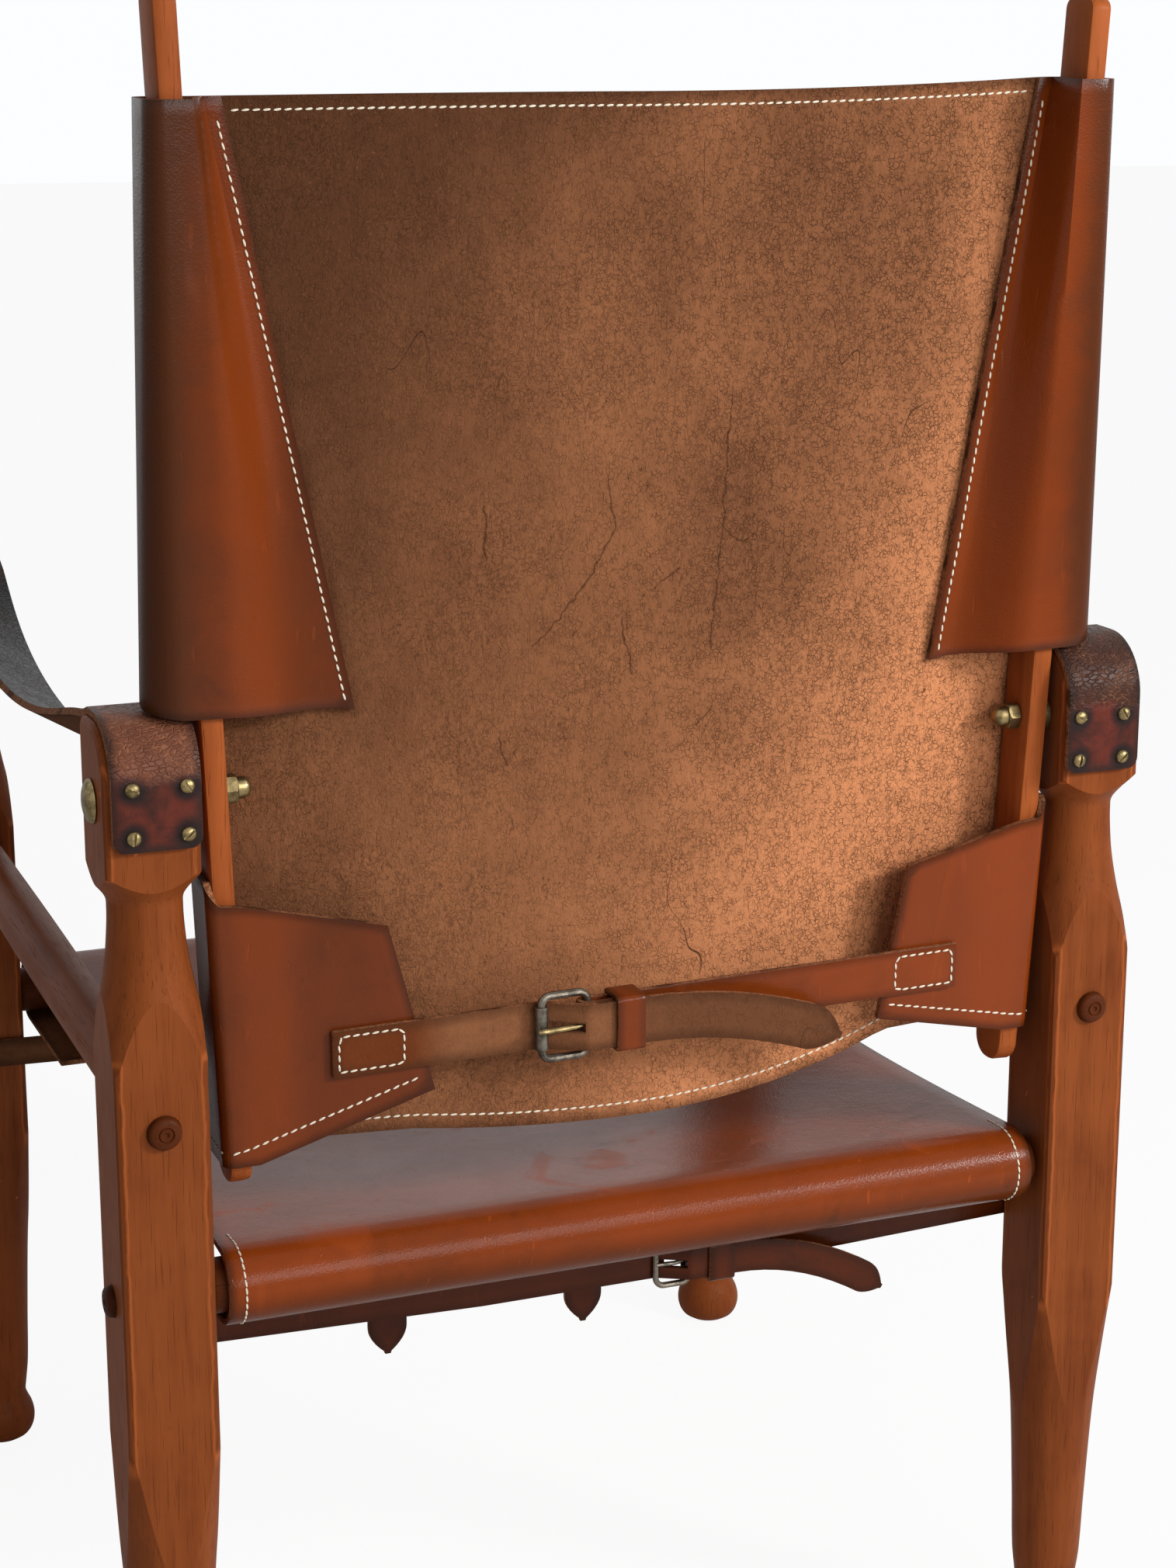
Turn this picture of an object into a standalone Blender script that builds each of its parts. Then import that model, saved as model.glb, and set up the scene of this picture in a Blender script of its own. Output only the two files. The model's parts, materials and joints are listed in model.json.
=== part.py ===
"""Campaign chair: a knock-down wooden frame with leather slings.

The chair faces -Y and stands on Z = 0, centred on X = 0. Four turned legs carry two side rails
and two seat rails on round tenons. The back is a leather sling on two flat posts that tilt
together on bolts through the rear legs. Lengths are in metres.
"""

import math

import bmesh
import bpy
from mathutils import Matrix, Vector

# Clearances and mesh settings
FIT_GAP = 0.0003
CUT_OVERRUN = 0.004
MERGE_DISTANCE = 0.00002
FLAT_ANGLE = math.radians(0.05)
TURNED_STEPS = 20
SMALL_STEPS = 8

# Legs
LEG_SPACING_X = 0.520
LEG_SPACING_Y = 0.480
LEG_SIDE = 0.047
LEG_HEIGHT = 0.593
LEG_CHAMFER = 0.003
LEG_CROWN_OUTER = 0.027
LEG_CROWN_INNER = 0.006
LEG_HEAD_LENGTH = 0.066
BLOCK_ABOVE_RAIL = 0.006
BLOCK_BELOW_RAIL = 0.054

# Leg turning: height as a share of its stretch, then radius as a share of the leg's side
FOOT_TURNING_SHARES = (
    (0.000, 0.290), (0.012, 0.385), (0.034, 0.448), (0.061, 0.466), (0.088, 0.440),
    (0.110, 0.390), (0.129, 0.358), (0.156, 0.372), (0.220, 0.410), (0.366, 0.440),
    (0.598, 0.500), (0.756, 0.578), (0.900, 0.668), (1.000, 0.760),
)
NECK_TURNING_SHARES = (
    (0.000, 0.706), (0.057, 0.668), (0.206, 0.590), (0.365, 0.500), (0.526, 0.432),
    (0.664, 0.402), (0.757, 0.394), (0.812, 0.406), (0.868, 0.500), (0.944, 0.668),
    (1.000, 0.760),
)

# Rails, with their heights measured down from the top of the legs
SIDE_RAIL_BACK_DROP = 0.200
SIDE_RAIL_FRONT_DROP = 0.180
SIDE_RAIL_RADIUS = 0.0145
SIDE_RAIL_END_RADIUS = 0.0132
SIDE_TENON_RADIUS = 0.0085
SEAT_RAIL_BACK_DROP = 0.295
SEAT_RAIL_FRONT_DROP = 0.283
SEAT_RAIL_RADIUS = 0.0165
SEAT_RAIL_END_RADIUS = 0.0140
SEAT_TENON_RADIUS = 0.0080
BUTTON_LENGTH = 0.0048
RAIL_SHOULDER_ROUND = 0.003

# Back posts
PIVOT_DROP = 0.038
POST_LEG_GAP = 0.005
POST_THICKNESS = 0.0115
POST_DEPTH = 0.027
POST_CHAMFER = 0.0018
POST_ABOVE_PIVOT = 0.374
POST_BELOW_PIVOT_LEFT = 0.204
POST_BELOW_PIVOT_RIGHT = 0.196
POST_SPLAY = math.radians(2.4)
POST_LEAN = math.radians(1.7)
POST_TOP_ROUND = 0.006
POST_FOOT_TAPER = 0.024
POST_FOOT_SHARE = 0.36

# Pivot hardware
BOLT_RADIUS = 0.004
BOLT_HEAD_RADIUS = 0.011
BOLT_HEAD_HEIGHT = 0.0045
BOLT_GRIP_IN_NUT = 0.008
NUT_ACROSS_FLATS = 0.013
NUT_HEX_HEIGHT = 0.0065
NUT_DOME_RADIUS = 0.0056
NUT_LENGTH = 0.0140
SPACER_RADIUS = 0.010

# Back sling; its reaches and insets are measured outwards and inwards from the middle of a post
SLING_THICKNESS = 0.0035
SLING_TOP = 0.328
SLEEVE_TOP_REACH = 0.0125
SLEEVE_FOOT_REACH = 0.0310
SLEEVE_FOOT_FRONT = 0.0455
SLEEVE_FOOT_BACK = 0.0395
SLEEVE_FOOT_SEAM = 0.0330
SEAM_WIDTH = 0.009
SLEEVE_CORNER_TOP = 0.0075
NOTCH_EDGE_INSET = 0.002
NOTCH_FOOT = -0.043
FLAP_TOP_INNER = -0.073
FLAP_CORNER = 0.0045
HEM_CENTRE = -0.198
BOW_TOP = 0.006
BOW_FOOT = 0.019
POST_PASS_CLEARANCE = 0.003

# Where the left and right halves of the worn sling differ
SLING_CORNER_LEFT = 0.3265
SLING_CORNER_RIGHT = 0.3340
SEAM_TOP_INSET_LEFT = 0.0290
SEAM_TOP_INSET_RIGHT = 0.0190
SEAM_FOOT_INSET_LEFT = 0.077
SEAM_FOOT_INSET_RIGHT = 0.059
FLAP_TOP_INSET_LEFT = 0.089
FLAP_TOP_INSET_RIGHT = 0.080
FLAP_FOOT_INSET_LEFT = 0.104
FLAP_FOOT_INSET_RIGHT = 0.090
FLAP_FOOT_OUTER_LEFT = -0.191
FLAP_FOOT_OUTER_RIGHT = -0.173
FLAP_FOOT_INNER_LEFT = -0.163
FLAP_FOOT_INNER_RIGHT = -0.157
HEM_REACH_INSET_LEFT = 0.104
HEM_REACH_INSET_RIGHT = 0.076

# Seat sling
SEAT_SIDE_GAP = 0.0075
SEAT_ROLL_CLEARANCE = 0.0007
SEAT_WAIST = 0.008
SEAT_SAG_CENTRE = 0.022
SEAT_SAG_EDGE = 0.010
SEAT_FLAP_BACK = 0.055
SEAT_FLAP_FRONT = 0.100

# Arm straps; their ends hang a little lower on the right
ARM_WIDTH = 0.0435
ARM_INSET = 0.0015
ARM_THICKNESS = 0.0038
ARM_END_DROP_LEFT = 0.0585
ARM_END_DROP_RIGHT = 0.0665
ARM_SAG = 0.0455
ARM_TWIST = math.radians(30)
ARM_LEVEL_RUN = 0.004
ARM_CORNER = 0.006
ARM_SCREW_INSET = 0.0030
ARM_SCREW_PITCH_X = 0.0265
ARM_SCREW_PITCH_Z = 0.0235
ARM_SCREW_FROM_FOOT = 0.0072

# Round-head slotted screws
SCREW_HEAD_RADIUS = 0.00375
SCREW_HEAD_HEIGHT = 0.0024
SCREW_SHANK_RADIUS = 0.0019
SCREW_SHANK_LENGTH = 0.016
SCREW_SLOT_WIDTH = 0.0009
SCREW_SLOT_DEPTH = 0.0011

# Back belt
BELT_WIDTH = 0.025
BELT_THICKNESS = 0.0032
BELT_Z = -0.1345
BELT_TILT = math.radians(1)
BELT_BAR_X = 0.0375
BELT_LEFT_END_INSET = 0.054
BELT_RIGHT_END_INSET = 0.047
BELT_TIP_X = 0.1040
BELT_TIP_DROP = 0.025
BELT_TIP_LENGTH = 0.020
BELT_FOLD_LENGTH = 0.030
BELT_KEEPER_NEAR = 0.0125
BELT_KEEPER_WIDTH = 0.0155

# Straps under the seat, front to back
SEAT_STRAP_WIDTH = 0.022
SEAT_STRAP_THICKNESS = 0.0028
SEAT_STRAP_BAR_Y = 0.150
SEAT_STRAP_BACK_END_Y = 0.222
SEAT_STRAP_FRONT_END_Y = -0.205
SEAT_STRAP_BEND = 0.012
SEAT_STRAP_HANG = 0.062
SEAT_STRAP_TIP_LENGTH = 0.016
SEAT_STRAP_FOLD_LENGTH = 0.024

# Side-to-side straps under the seat rails
CROSS_STRAP_WIDTH = 0.018
CROSS_STRAP_THICKNESS = 0.0028
CROSS_STRAP_DROP = 0.032
CROSS_STRAP_SAG = 0.006
CROSS_STRAP_END_INSET = 0.005
CROSS_STRAP_BAR_X = 0.040
CROSS_STRAP_TIP_REACH = 0.115
CROSS_STRAP_TIP_DROP = 0.032
CROSS_STRAP_TIP_LENGTH = 0.014
CROSS_STRAP_FOLD_LENGTH = 0.026
CROSS_KEEPER_NEAR = 0.008
CROSS_KEEPER_WIDTH = 0.015

# Buckles
BUCKLE_WIRE = 0.0021
BUCKLE_LENGTH = 0.025
BUCKLE_SIDE_ROOM = 0.0045
BUCKLE_CORNER = 0.005
ROLLER_RADIUS = 0.0035
ROLLER_PLAY = 0.0003
PRONG_RADIUS = 0.0015
PRONG_OVERHANG = 0.003
SLOT_WIDTH = 0.0044
KEEPER_THICKNESS = 0.0022
SMALL_WIRE = 0.0017
SMALL_BUCKLE_LENGTH = 0.020
SMALL_SIDE_ROOM = 0.0040

LEG_HALF = LEG_SIDE / 2
LEG_X = LEG_SPACING_X / 2
LEG_Y = LEG_SPACING_Y / 2
SIDE_RAIL_BACK_Z = LEG_HEIGHT - SIDE_RAIL_BACK_DROP
SIDE_RAIL_FRONT_Z = LEG_HEIGHT - SIDE_RAIL_FRONT_DROP
SEAT_RAIL_BACK_Z = LEG_HEIGHT - SEAT_RAIL_BACK_DROP
SEAT_RAIL_FRONT_Z = LEG_HEIGHT - SEAT_RAIL_FRONT_DROP
PIVOT_Z = LEG_HEIGHT - PIVOT_DROP
POST_PIVOT_X = LEG_X - LEG_HALF - POST_LEG_GAP - POST_THICKNESS / 2
SEAT_HALF_WIDTH = LEG_X - LEG_HALF - SEAT_SIDE_GAP
SLING_OFFSET = POST_DEPTH / 2 + FIT_GAP + SLING_THICKNESS / 2 + FIT_GAP
SEAT_ROLL = SEAT_RAIL_RADIUS + SEAT_ROLL_CLEARANCE + SLING_THICKNESS / 2


def clear_scene():
    """Remove whatever the file opened with."""
    for obj in list(bpy.data.objects):
        bpy.data.objects.remove(obj, do_unlink=True)


def new_collection(name):
    """A collection linked to the scene."""
    collection = bpy.data.collections.new(name)
    bpy.context.scene.collection.children.link(collection)
    return collection


def make_material(name, colour, roughness, metallic=0.0):
    """One Principled material."""
    material = bpy.data.materials.new(name)
    material.use_nodes = True
    shader = material.node_tree.nodes["Principled BSDF"]
    shader.inputs["Base Color"].default_value = (*colour, 1.0)
    shader.inputs["Roughness"].default_value = roughness
    shader.inputs["Metallic"].default_value = metallic
    material.diffuse_color = (*colour, 1.0)
    return material


def lerp(a, b, t):
    """Straight blend from a to b."""
    return a + (b - a) * t


def arc_points(centre, radius, start, end, steps):
    """Points of a circular arc in a plane, both ends included."""
    points = []
    for i in range(steps + 1):
        angle = lerp(start, end, i / steps)
        points.append((centre[0] + radius * math.cos(angle), centre[1] + radius * math.sin(angle)))
    return points


def axis_matrix(point, direction):
    """Places local Z along a direction at a point."""
    turn = Vector((0, 0, 1)).rotation_difference(Vector(direction))
    return Matrix.Translation(point) @ turn.to_matrix().to_4x4()


def frame_matrix(origin, along, out):
    """Local X runs along a strap, Y out of its face, Z across its width."""
    x_axis = Vector(along).normalized()
    y_axis = Vector(out).normalized()
    z_axis = x_axis.cross(y_axis)
    turn = Matrix((x_axis, y_axis, z_axis)).transposed()
    return Matrix.Translation(origin) @ turn.to_4x4()


class Workshop:
    """Keeps the collections and the empty that the next objects belong to."""

    def __init__(self):
        self.parts = new_collection("campaign_chair")
        self.cutters = new_collection("cutters")
        self.parent = None
        self.colours = {}

    def link(self, obj, matrix, cutter=False):
        """Put an object in its collection, under the current parent."""
        collection = self.cutters if cutter else self.parts
        collection.objects.link(obj)
        obj.parent = self.parent
        obj.matrix_basis = matrix
        if cutter:
            obj.hide_render = True
            obj.display_type = "WIRE"
        return obj

    def finish(self, obj, colour):
        """Give a part its material and smooth faces."""
        obj.data.materials.clear()
        obj.data.materials.append(self.colours[colour])
        obj.data.shade_smooth()
        obj.data.set_sharp_from_angle(angle=math.radians(35))
        return obj


def mesh_object(shop, name, verts, faces, matrix, edges=(), cutter=False):
    """An object from points, edges and faces."""
    mesh = bpy.data.meshes.new(name)
    mesh.from_pydata(verts, list(edges), faces)
    mesh.update()
    return shop.link(bpy.data.objects.new(name, mesh), matrix, cutter)


def curve_to_mesh(obj):
    """Swap a curve object for its welded mesh, with the same name, place and parent."""
    name = obj.name
    bpy.context.view_layer.update()
    evaluated = obj.evaluated_get(bpy.context.evaluated_depsgraph_get())
    mesh = bpy.data.meshes.new_from_object(evaluated)
    bm = bmesh.new()
    bm.from_mesh(mesh)
    bmesh.ops.remove_doubles(bm, verts=bm.verts, dist=MERGE_DISTANCE)
    bmesh.ops.dissolve_limit(bm, angle_limit=FLAT_ANGLE, verts=bm.verts, edges=bm.edges)
    bmesh.ops.recalc_face_normals(bm, faces=bm.faces)
    bm.to_mesh(mesh)
    bm.free()
    solid = bpy.data.objects.new(name, mesh)
    for collection in obj.users_collection:
        collection.objects.link(solid)
    solid.parent = obj.parent
    solid.matrix_basis = obj.matrix_basis.copy()
    solid.hide_render = obj.hide_render
    solid.display_type = obj.display_type
    bpy.data.objects.remove(obj, do_unlink=True)
    solid.name = name
    return solid


def outline_solid(shop, name, outlines, half_depth, matrix, cutter=False):
    """A flat outline, with any inner outlines as holes, extruded both ways."""
    curve = bpy.data.curves.new(name, "CURVE")
    curve.dimensions = "2D"
    curve.fill_mode = "BOTH"
    curve.extrude = half_depth
    for outline in outlines:
        spline = curve.splines.new("POLY")
        spline.points.add(len(outline) - 1)
        for point, place in zip(spline.points, outline):
            point.co = (place[0], place[1], 0, 1)
        spline.use_cyclic_u = True
    return curve_to_mesh(shop.link(bpy.data.objects.new(name, curve), matrix, cutter))


def wire(shop, name, points, radius, matrix, cyclic=False, cutter=False):
    """A round wire along a route."""
    curve = bpy.data.curves.new(name, "CURVE")
    curve.dimensions = "3D"
    curve.bevel_depth = radius
    curve.bevel_resolution = 1
    curve.use_fill_caps = not cyclic
    spline = curve.splines.new("POLY")
    spline.points.add(len(points) - 1)
    for point, place in zip(spline.points, points):
        point.co = (*place, 1)
    spline.use_cyclic_u = cyclic
    return curve_to_mesh(shop.link(bpy.data.objects.new(name, curve), matrix, cutter))


def turned(shop, name, profile, matrix, steps=TURNED_STEPS, cutter=False):
    """A turned solid: (height, radius) pairs from the top down, both ends on the axis."""
    verts = [(radius, 0, height) for height, radius in profile]
    edges = [(i, i + 1) for i in range(len(verts) - 1)]
    obj = mesh_object(shop, name, verts, [], matrix, edges, cutter)
    screw = obj.modifiers.new("Turn", "SCREW")
    screw.steps = steps
    screw.render_steps = steps
    screw.use_merge_vertices = True
    screw.merge_threshold = MERGE_DISTANCE
    return curve_to_mesh(obj)


def boolean(target, cutter, operation="DIFFERENCE"):
    """Cut, keep or join one solid with another."""
    modifier = target.modifiers.new(operation.title(), "BOOLEAN")
    modifier.operation = operation
    modifier.solver = "EXACT"
    modifier.object = cutter


def drill(shop, target, point, direction, radius, length, steps=TURNED_STEPS):
    """Bore a round hole centred on a point, its facets turned off the flats beside it."""
    name = target.name + "_drill"
    profile = [(length / 2, 0), (length / 2, radius), (-length / 2, radius), (-length / 2, 0)]
    place = axis_matrix(point, direction) @ Matrix.Rotation(math.pi / steps / 2, 4, "Z")
    boolean(target, turned(shop, name, profile, place, steps, cutter=True))


def box_cutter(shop, target, low, high, matrix):
    """Cut a box given by two corners in the piece's own frame."""
    bm = bmesh.new()
    bmesh.ops.create_cube(bm, size=1)
    size = Vector(high) - Vector(low)
    middle = (Vector(high) + Vector(low)) / 2
    bmesh.ops.scale(bm, vec=size, verts=bm.verts)
    bmesh.ops.translate(bm, vec=middle, verts=bm.verts)
    mesh = bpy.data.meshes.new(target.name + "_slot")
    bm.to_mesh(mesh)
    bm.free()
    boolean(target, shop.link(bpy.data.objects.new(mesh.name, mesh), matrix, cutter=True))


def sheet_solid(shop, name, rows, keep, thickness, matrix):
    """A leather sheet: a grid of points given a thickness both ways from its middle."""
    columns = len(rows[0])
    verts = [point for row in rows for point in row]
    faces = []
    for r in range(len(rows) - 1):
        for c in range(columns - 1):
            if keep(r, c):
                first = r * columns + c
                faces.append((first, first + 1, first + columns + 1, first + columns))
    obj = mesh_object(shop, name, verts, faces, matrix)
    bm = bmesh.new()
    bm.from_mesh(obj.data)
    loose = [vert for vert in bm.verts if not vert.link_faces]
    bmesh.ops.delete(bm, geom=loose, context="VERTS")
    bm.to_mesh(obj.data)
    bm.free()
    shell = obj.modifiers.new("Thickness", "SOLIDIFY")
    shell.thickness = thickness
    shell.offset = 0
    shell.use_even_offset = True
    return obj


def strap_solid(shop, name, route, width, thickness, matrix, tip_length=0, corner=0, twist=None):
    """A strap along a route of (along, out, across) points, with a tip or round corners.

    A tip closes the far end to a rounded point. A corner radius rounds both ends.
    A twist gives the turn about the run for each distance along.
    """
    points = [Vector(point) for point in route]
    distance = [0]
    for before, after in zip(points, points[1:]):
        distance.append(distance[-1] + (after - before).length)
    rows = []
    for i, point in enumerate(points):
        ahead = points[min(i + 1, len(points) - 1)] - points[max(i - 1, 0)]
        normal = Vector((-ahead.y, ahead.x, 0)).normalized()
        across = ahead.cross(normal).normalized()
        if twist:
            across = Matrix.Rotation(twist(point.x), 3, ahead) @ across
        half = half_width(distance[i], distance[-1], width / 2, tip_length, corner)
        rows.append((point - across * half, point + across * half))
    return sheet_solid(shop, name, rows, lambda r, c: True, thickness, matrix)


def half_width(place, length, half, tip_length, corner):
    """Half the strap's width at a distance along it."""
    from_far = length - place
    if tip_length and from_far < tip_length:
        return half * max(1 - (1 - from_far / tip_length) ** 2, TIP_END_SHARE)
    near_end = min(place, from_far)
    if corner and near_end < corner:
        return half - corner + math.sqrt(corner ** 2 - (corner - near_end) ** 2)
    return half


TIP_END_SHARE = 0.16
TIP_STATION_SHARES = (0.0, 0.25, 0.5, 0.72, 0.88, 1.0)


def end_stations(start, end, length):
    """Extra points on the straight run into a shaped end."""
    end = Vector(end)
    away = (end - Vector(start)).normalized()
    stations = []
    for share in TIP_STATION_SHARES:
        stations.append(end - away * (length * (1 - share)))
    return stations


# Wooden frame


def leg_outline(side_y):
    """Side view of a leg blank: square below, with its top corners rounded."""
    top = LEG_HEIGHT
    inner = arc_points((LEG_CROWN_INNER - LEG_HALF, top - LEG_CROWN_INNER), LEG_CROWN_INNER,
                       math.pi, math.pi / 2, 4)
    outer = arc_points((LEG_HALF - LEG_CROWN_OUTER, top - LEG_CROWN_OUTER), LEG_CROWN_OUTER,
                       math.pi / 2, 0, 6)
    points = [(-LEG_HALF, -CUT_OVERRUN)] + inner + outer + [(LEG_HALF, -CUT_OVERRUN)]
    return [(side_y * y, z) for y, z in points]


def leg(shop, name, side_x, side_y):
    """A square blank turned to its neck, taper and ball foot, then bored."""
    centre = Vector((side_x * LEG_X, side_y * LEG_Y, 0))
    upright = Matrix(((0, 0, 1), (1, 0, 0), (0, 1, 0))).to_4x4()
    blank = outline_solid(shop, name, [leg_outline(side_y)], LEG_HALF, Matrix.Translation(centre) @ upright)
    bevel = blank.modifiers.new("Chamfer", "BEVEL")
    bevel.width = LEG_CHAMFER
    bevel.segments = 1
    bevel.limit_method = "ANGLE"
    bevel.angle_limit = math.radians(40)
    form = turned(shop, name + "_turning", leg_turning(), Matrix.Translation(centre), cutter=True)
    boolean(blank, form, "INTERSECT")
    bore_leg(shop, blank, centre, side_x, side_y)
    return shop.finish(blank, "wood")


def leg_turning():
    """Profile of the lathe work from the head down; it leaves the block and the head square."""
    block_foot = SEAT_RAIL_BACK_Z - BLOCK_BELOW_RAIL
    block_top = SIDE_RAIL_FRONT_Z + BLOCK_ABOVE_RAIL
    head_foot = LEG_HEIGHT - LEG_HEAD_LENGTH
    widest = LEG_SIDE * NECK_TURNING_SHARES[-1][1]
    profile = [(0, 0)]
    for share, radius_share in FOOT_TURNING_SHARES:
        profile.append((block_foot * share, LEG_SIDE * radius_share))
    for share, radius_share in NECK_TURNING_SHARES:
        profile.append((lerp(block_top, head_foot, share), LEG_SIDE * radius_share))
    profile += [(LEG_HEIGHT + CUT_OVERRUN, widest), (LEG_HEIGHT + CUT_OVERRUN, 0)]
    return list(reversed(profile))


def bore_leg(shop, blank, centre, side_x, side_y):
    """Holes for the rail tenons, the arm screws and, at the back, the pivot bolt."""
    through = LEG_SIDE + 2 * CUT_OVERRUN
    rail_z = SIDE_RAIL_BACK_Z if side_y > 0 else SIDE_RAIL_FRONT_Z
    seat_z = SEAT_RAIL_BACK_Z if side_y > 0 else SEAT_RAIL_FRONT_Z
    side_point = centre + Vector((0, 0, rail_z))
    seat_point = centre + Vector((0, 0, seat_z))
    drill(shop, blank, side_point, side_rail_direction(), SIDE_TENON_RADIUS + FIT_GAP, through)
    drill(shop, blank, seat_point, (1, 0, 0), SEAT_TENON_RADIUS + FIT_GAP, through)
    if side_y > 0:
        pivot = centre + Vector((0, 0, PIVOT_Z))
        drill(shop, blank, pivot, (1, 0, 0), BOLT_RADIUS + FIT_GAP, through, 16)
    for place in arm_screw_places(side_x):
        depth = 2 * (SCREW_SHANK_LENGTH - ARM_THICKNESS + CUT_OVERRUN)
        face = Vector((place[0], centre.y + side_y * LEG_HALF, place[1]))
        drill(shop, blank, face, (0, 1, 0), SCREW_SHANK_RADIUS + FIT_GAP, depth, SMALL_STEPS)


def side_rail_direction():
    """Front to back along a side rail, which falls towards the back."""
    return Vector((0, LEG_SPACING_Y, SIDE_RAIL_BACK_Z - SIDE_RAIL_FRONT_Z)).normalized()


def rail_profile(half_span, middle, end, tenon, slack):
    """Half of a turned rail, from its far end to its middle, mirrored to the whole."""
    shoulder = half_span - LEG_HALF - FIT_GAP - slack
    tip = half_span + LEG_HALF + BUTTON_LENGTH
    half = [(tip, 0)]
    for share_in, share_out in BUTTON_SHARES:
        half.append((tip - BUTTON_LENGTH * share_in, tenon * share_out))
    half.append((shoulder, tenon))
    half.append((shoulder, end - RAIL_SHOULDER_ROUND))
    half.append((shoulder - RAIL_SHOULDER_ROUND / 3, end - RAIL_SHOULDER_ROUND / 3))
    half.append((shoulder - RAIL_SHOULDER_ROUND, end))
    for share in RAIL_SWELL_SHARES:
        half.append((shoulder * (1 - share), lerp(end, middle, math.sin(share * math.pi / 2))))
    return half + [(-height, radius) for height, radius in reversed(half)]


BUTTON_SHARES = ((0.0, 0.60), (0.14, 0.82), (0.42, 0.97), (0.70, 1.0))
RAIL_SWELL_SHARES = (0.35, 0.80)


def side_rail(shop, name, side_x):
    """Round rail between a front and a back leg, its tenons showing as buttons outside."""
    slope = (SIDE_RAIL_FRONT_Z - SIDE_RAIL_BACK_Z) / LEG_SPACING_Y
    stretch = math.sqrt(1 + slope ** 2)
    profile = rail_profile(LEG_Y * stretch, SIDE_RAIL_RADIUS, SIDE_RAIL_END_RADIUS,
                           SIDE_TENON_RADIUS, SIDE_RAIL_END_RADIUS * slope)
    middle = Vector((side_x * LEG_X, 0, (SIDE_RAIL_BACK_Z + SIDE_RAIL_FRONT_Z) / 2))
    rail = turned(shop, name, profile, axis_matrix(middle, side_rail_direction()))
    return shop.finish(rail, "wood")


def seat_rail(shop, name, side_y, height):
    """Round rail across the chair inside the seat sling."""
    profile = rail_profile(LEG_X, SEAT_RAIL_RADIUS, SEAT_RAIL_END_RADIUS, SEAT_TENON_RADIUS, 0)
    middle = Vector((0, side_y * LEG_Y, height))
    rail = turned(shop, name, profile, axis_matrix(middle, (1, 0, 0)))
    return shop.finish(rail, "wood")


# Arm straps


def arm_end_z(side_x):
    """Height of the strap's lower ends on one side of the chair."""
    return LEG_HEIGHT - (ARM_END_DROP_LEFT if side_x > 0 else ARM_END_DROP_RIGHT)


def arm_screw_places(side_x):
    """X and Z of the four screws at one end of an arm strap."""
    middle = side_x * (LEG_X - ARM_SCREW_INSET)
    low = arm_end_z(side_x) + ARM_SCREW_FROM_FOOT
    places = []
    for step_z in (0, 1):
        for step_x in (-1, 1):
            places.append((middle + step_x * ARM_SCREW_PITCH_X / 2, low + step_z * ARM_SCREW_PITCH_Z))
    return places


def arm_route(end_z):
    """Side view of an arm strap from its middle, over the rear head and down the back."""
    lift = FIT_GAP + ARM_THICKNESS / 2
    reach = LEG_Y - LEG_HALF + LEG_CROWN_INNER
    dip = math.atan(2 * ARM_SAG / reach)
    bend = LEG_CROWN_INNER + lift
    start = Vector((reach - bend * math.sin(dip), LEG_HEIGHT - LEG_CROWN_INNER + bend * math.cos(dip)))
    hang = []
    for share in ARM_HANG_SHARES:
        y = start.x * share
        drop = math.tan(dip) * (start.x ** 2 - y ** 2) / (2 * start.x)
        hang.append((y, start.y - drop))
    over_inner = arc_points((reach, LEG_HEIGHT - LEG_CROWN_INNER), bend, math.pi / 2 + dip, math.pi / 2, 3)
    crown = LEG_Y + LEG_HALF - LEG_CROWN_OUTER
    over_outer = arc_points((crown, LEG_HEIGHT - LEG_CROWN_OUTER), LEG_CROWN_OUTER + lift,
                            math.pi / 2, 0, 6)
    route = hang + over_inner[1:] + over_outer
    for share in CORNER_STATION_SHARES:
        route.append((over_outer[-1][0], end_z + ARM_CORNER * share))
    return route


ARM_HANG_SHARES = (0.0, 0.15, 0.3, 0.45, 0.6, 0.75, 0.88, 0.97, 1.0)
CORNER_STATION_SHARES = (1.0, 0.6, 0.25, 0.06, 0.0)


def arm_twist(y):
    """How far the strap has rolled inwards: most in the middle, none near the heads."""
    share = min(abs(y) / (LEG_Y - LEG_HALF - ARM_LEVEL_RUN), 1)
    return ARM_TWIST * (1 - share ** 5)


def arm_strap(shop, name, side_x):
    """Leather arm: from the front leg's front face, over both heads, to the back leg's back."""
    half = [(y, z, 0) for y, z in arm_route(arm_end_z(side_x))]
    route = [(-y, z, w) for y, z, w in reversed(half)] + half[1:]
    upright = Matrix(((0, 0, 1), (1, 0, 0), (0, 1, 0))).to_4x4()
    place = Matrix.Translation((side_x * (LEG_X - ARM_INSET), 0, 0)) @ upright
    strap = strap_solid(shop, name, route, ARM_WIDTH, ARM_THICKNESS, place, corner=ARM_CORNER,
                        twist=lambda y: -side_x * arm_twist(y))
    for side_y in (-1, 1):
        for screw_x, screw_z in arm_screw_places(side_x):
            face = (screw_x, side_y * (LEG_Y + LEG_HALF), screw_z)
            drill(shop, strap, face, (0, 1, 0), SCREW_SHANK_RADIUS + FIT_GAP, 4 * ARM_THICKNESS, SMALL_STEPS)
    return shop.finish(strap, "leather_dark")


def screw_profile():
    """Round head, shank and point of a wood screw, head up, with the seat of the head at zero."""
    head = []
    for share_in, share_out in DOME_SHARES:
        head.append((SCREW_HEAD_HEIGHT * share_in, SCREW_HEAD_RADIUS * share_out))
    point = 2 * SCREW_SHANK_RADIUS
    shank = [(0, SCREW_SHANK_RADIUS), (point - SCREW_SHANK_LENGTH, SCREW_SHANK_RADIUS)]
    return head + shank + [(-SCREW_SHANK_LENGTH, 0)]


DOME_SHARES = ((1.0, 0.0), (0.90, 0.48), (0.55, 0.84), (0.0, 1.0))


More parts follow.
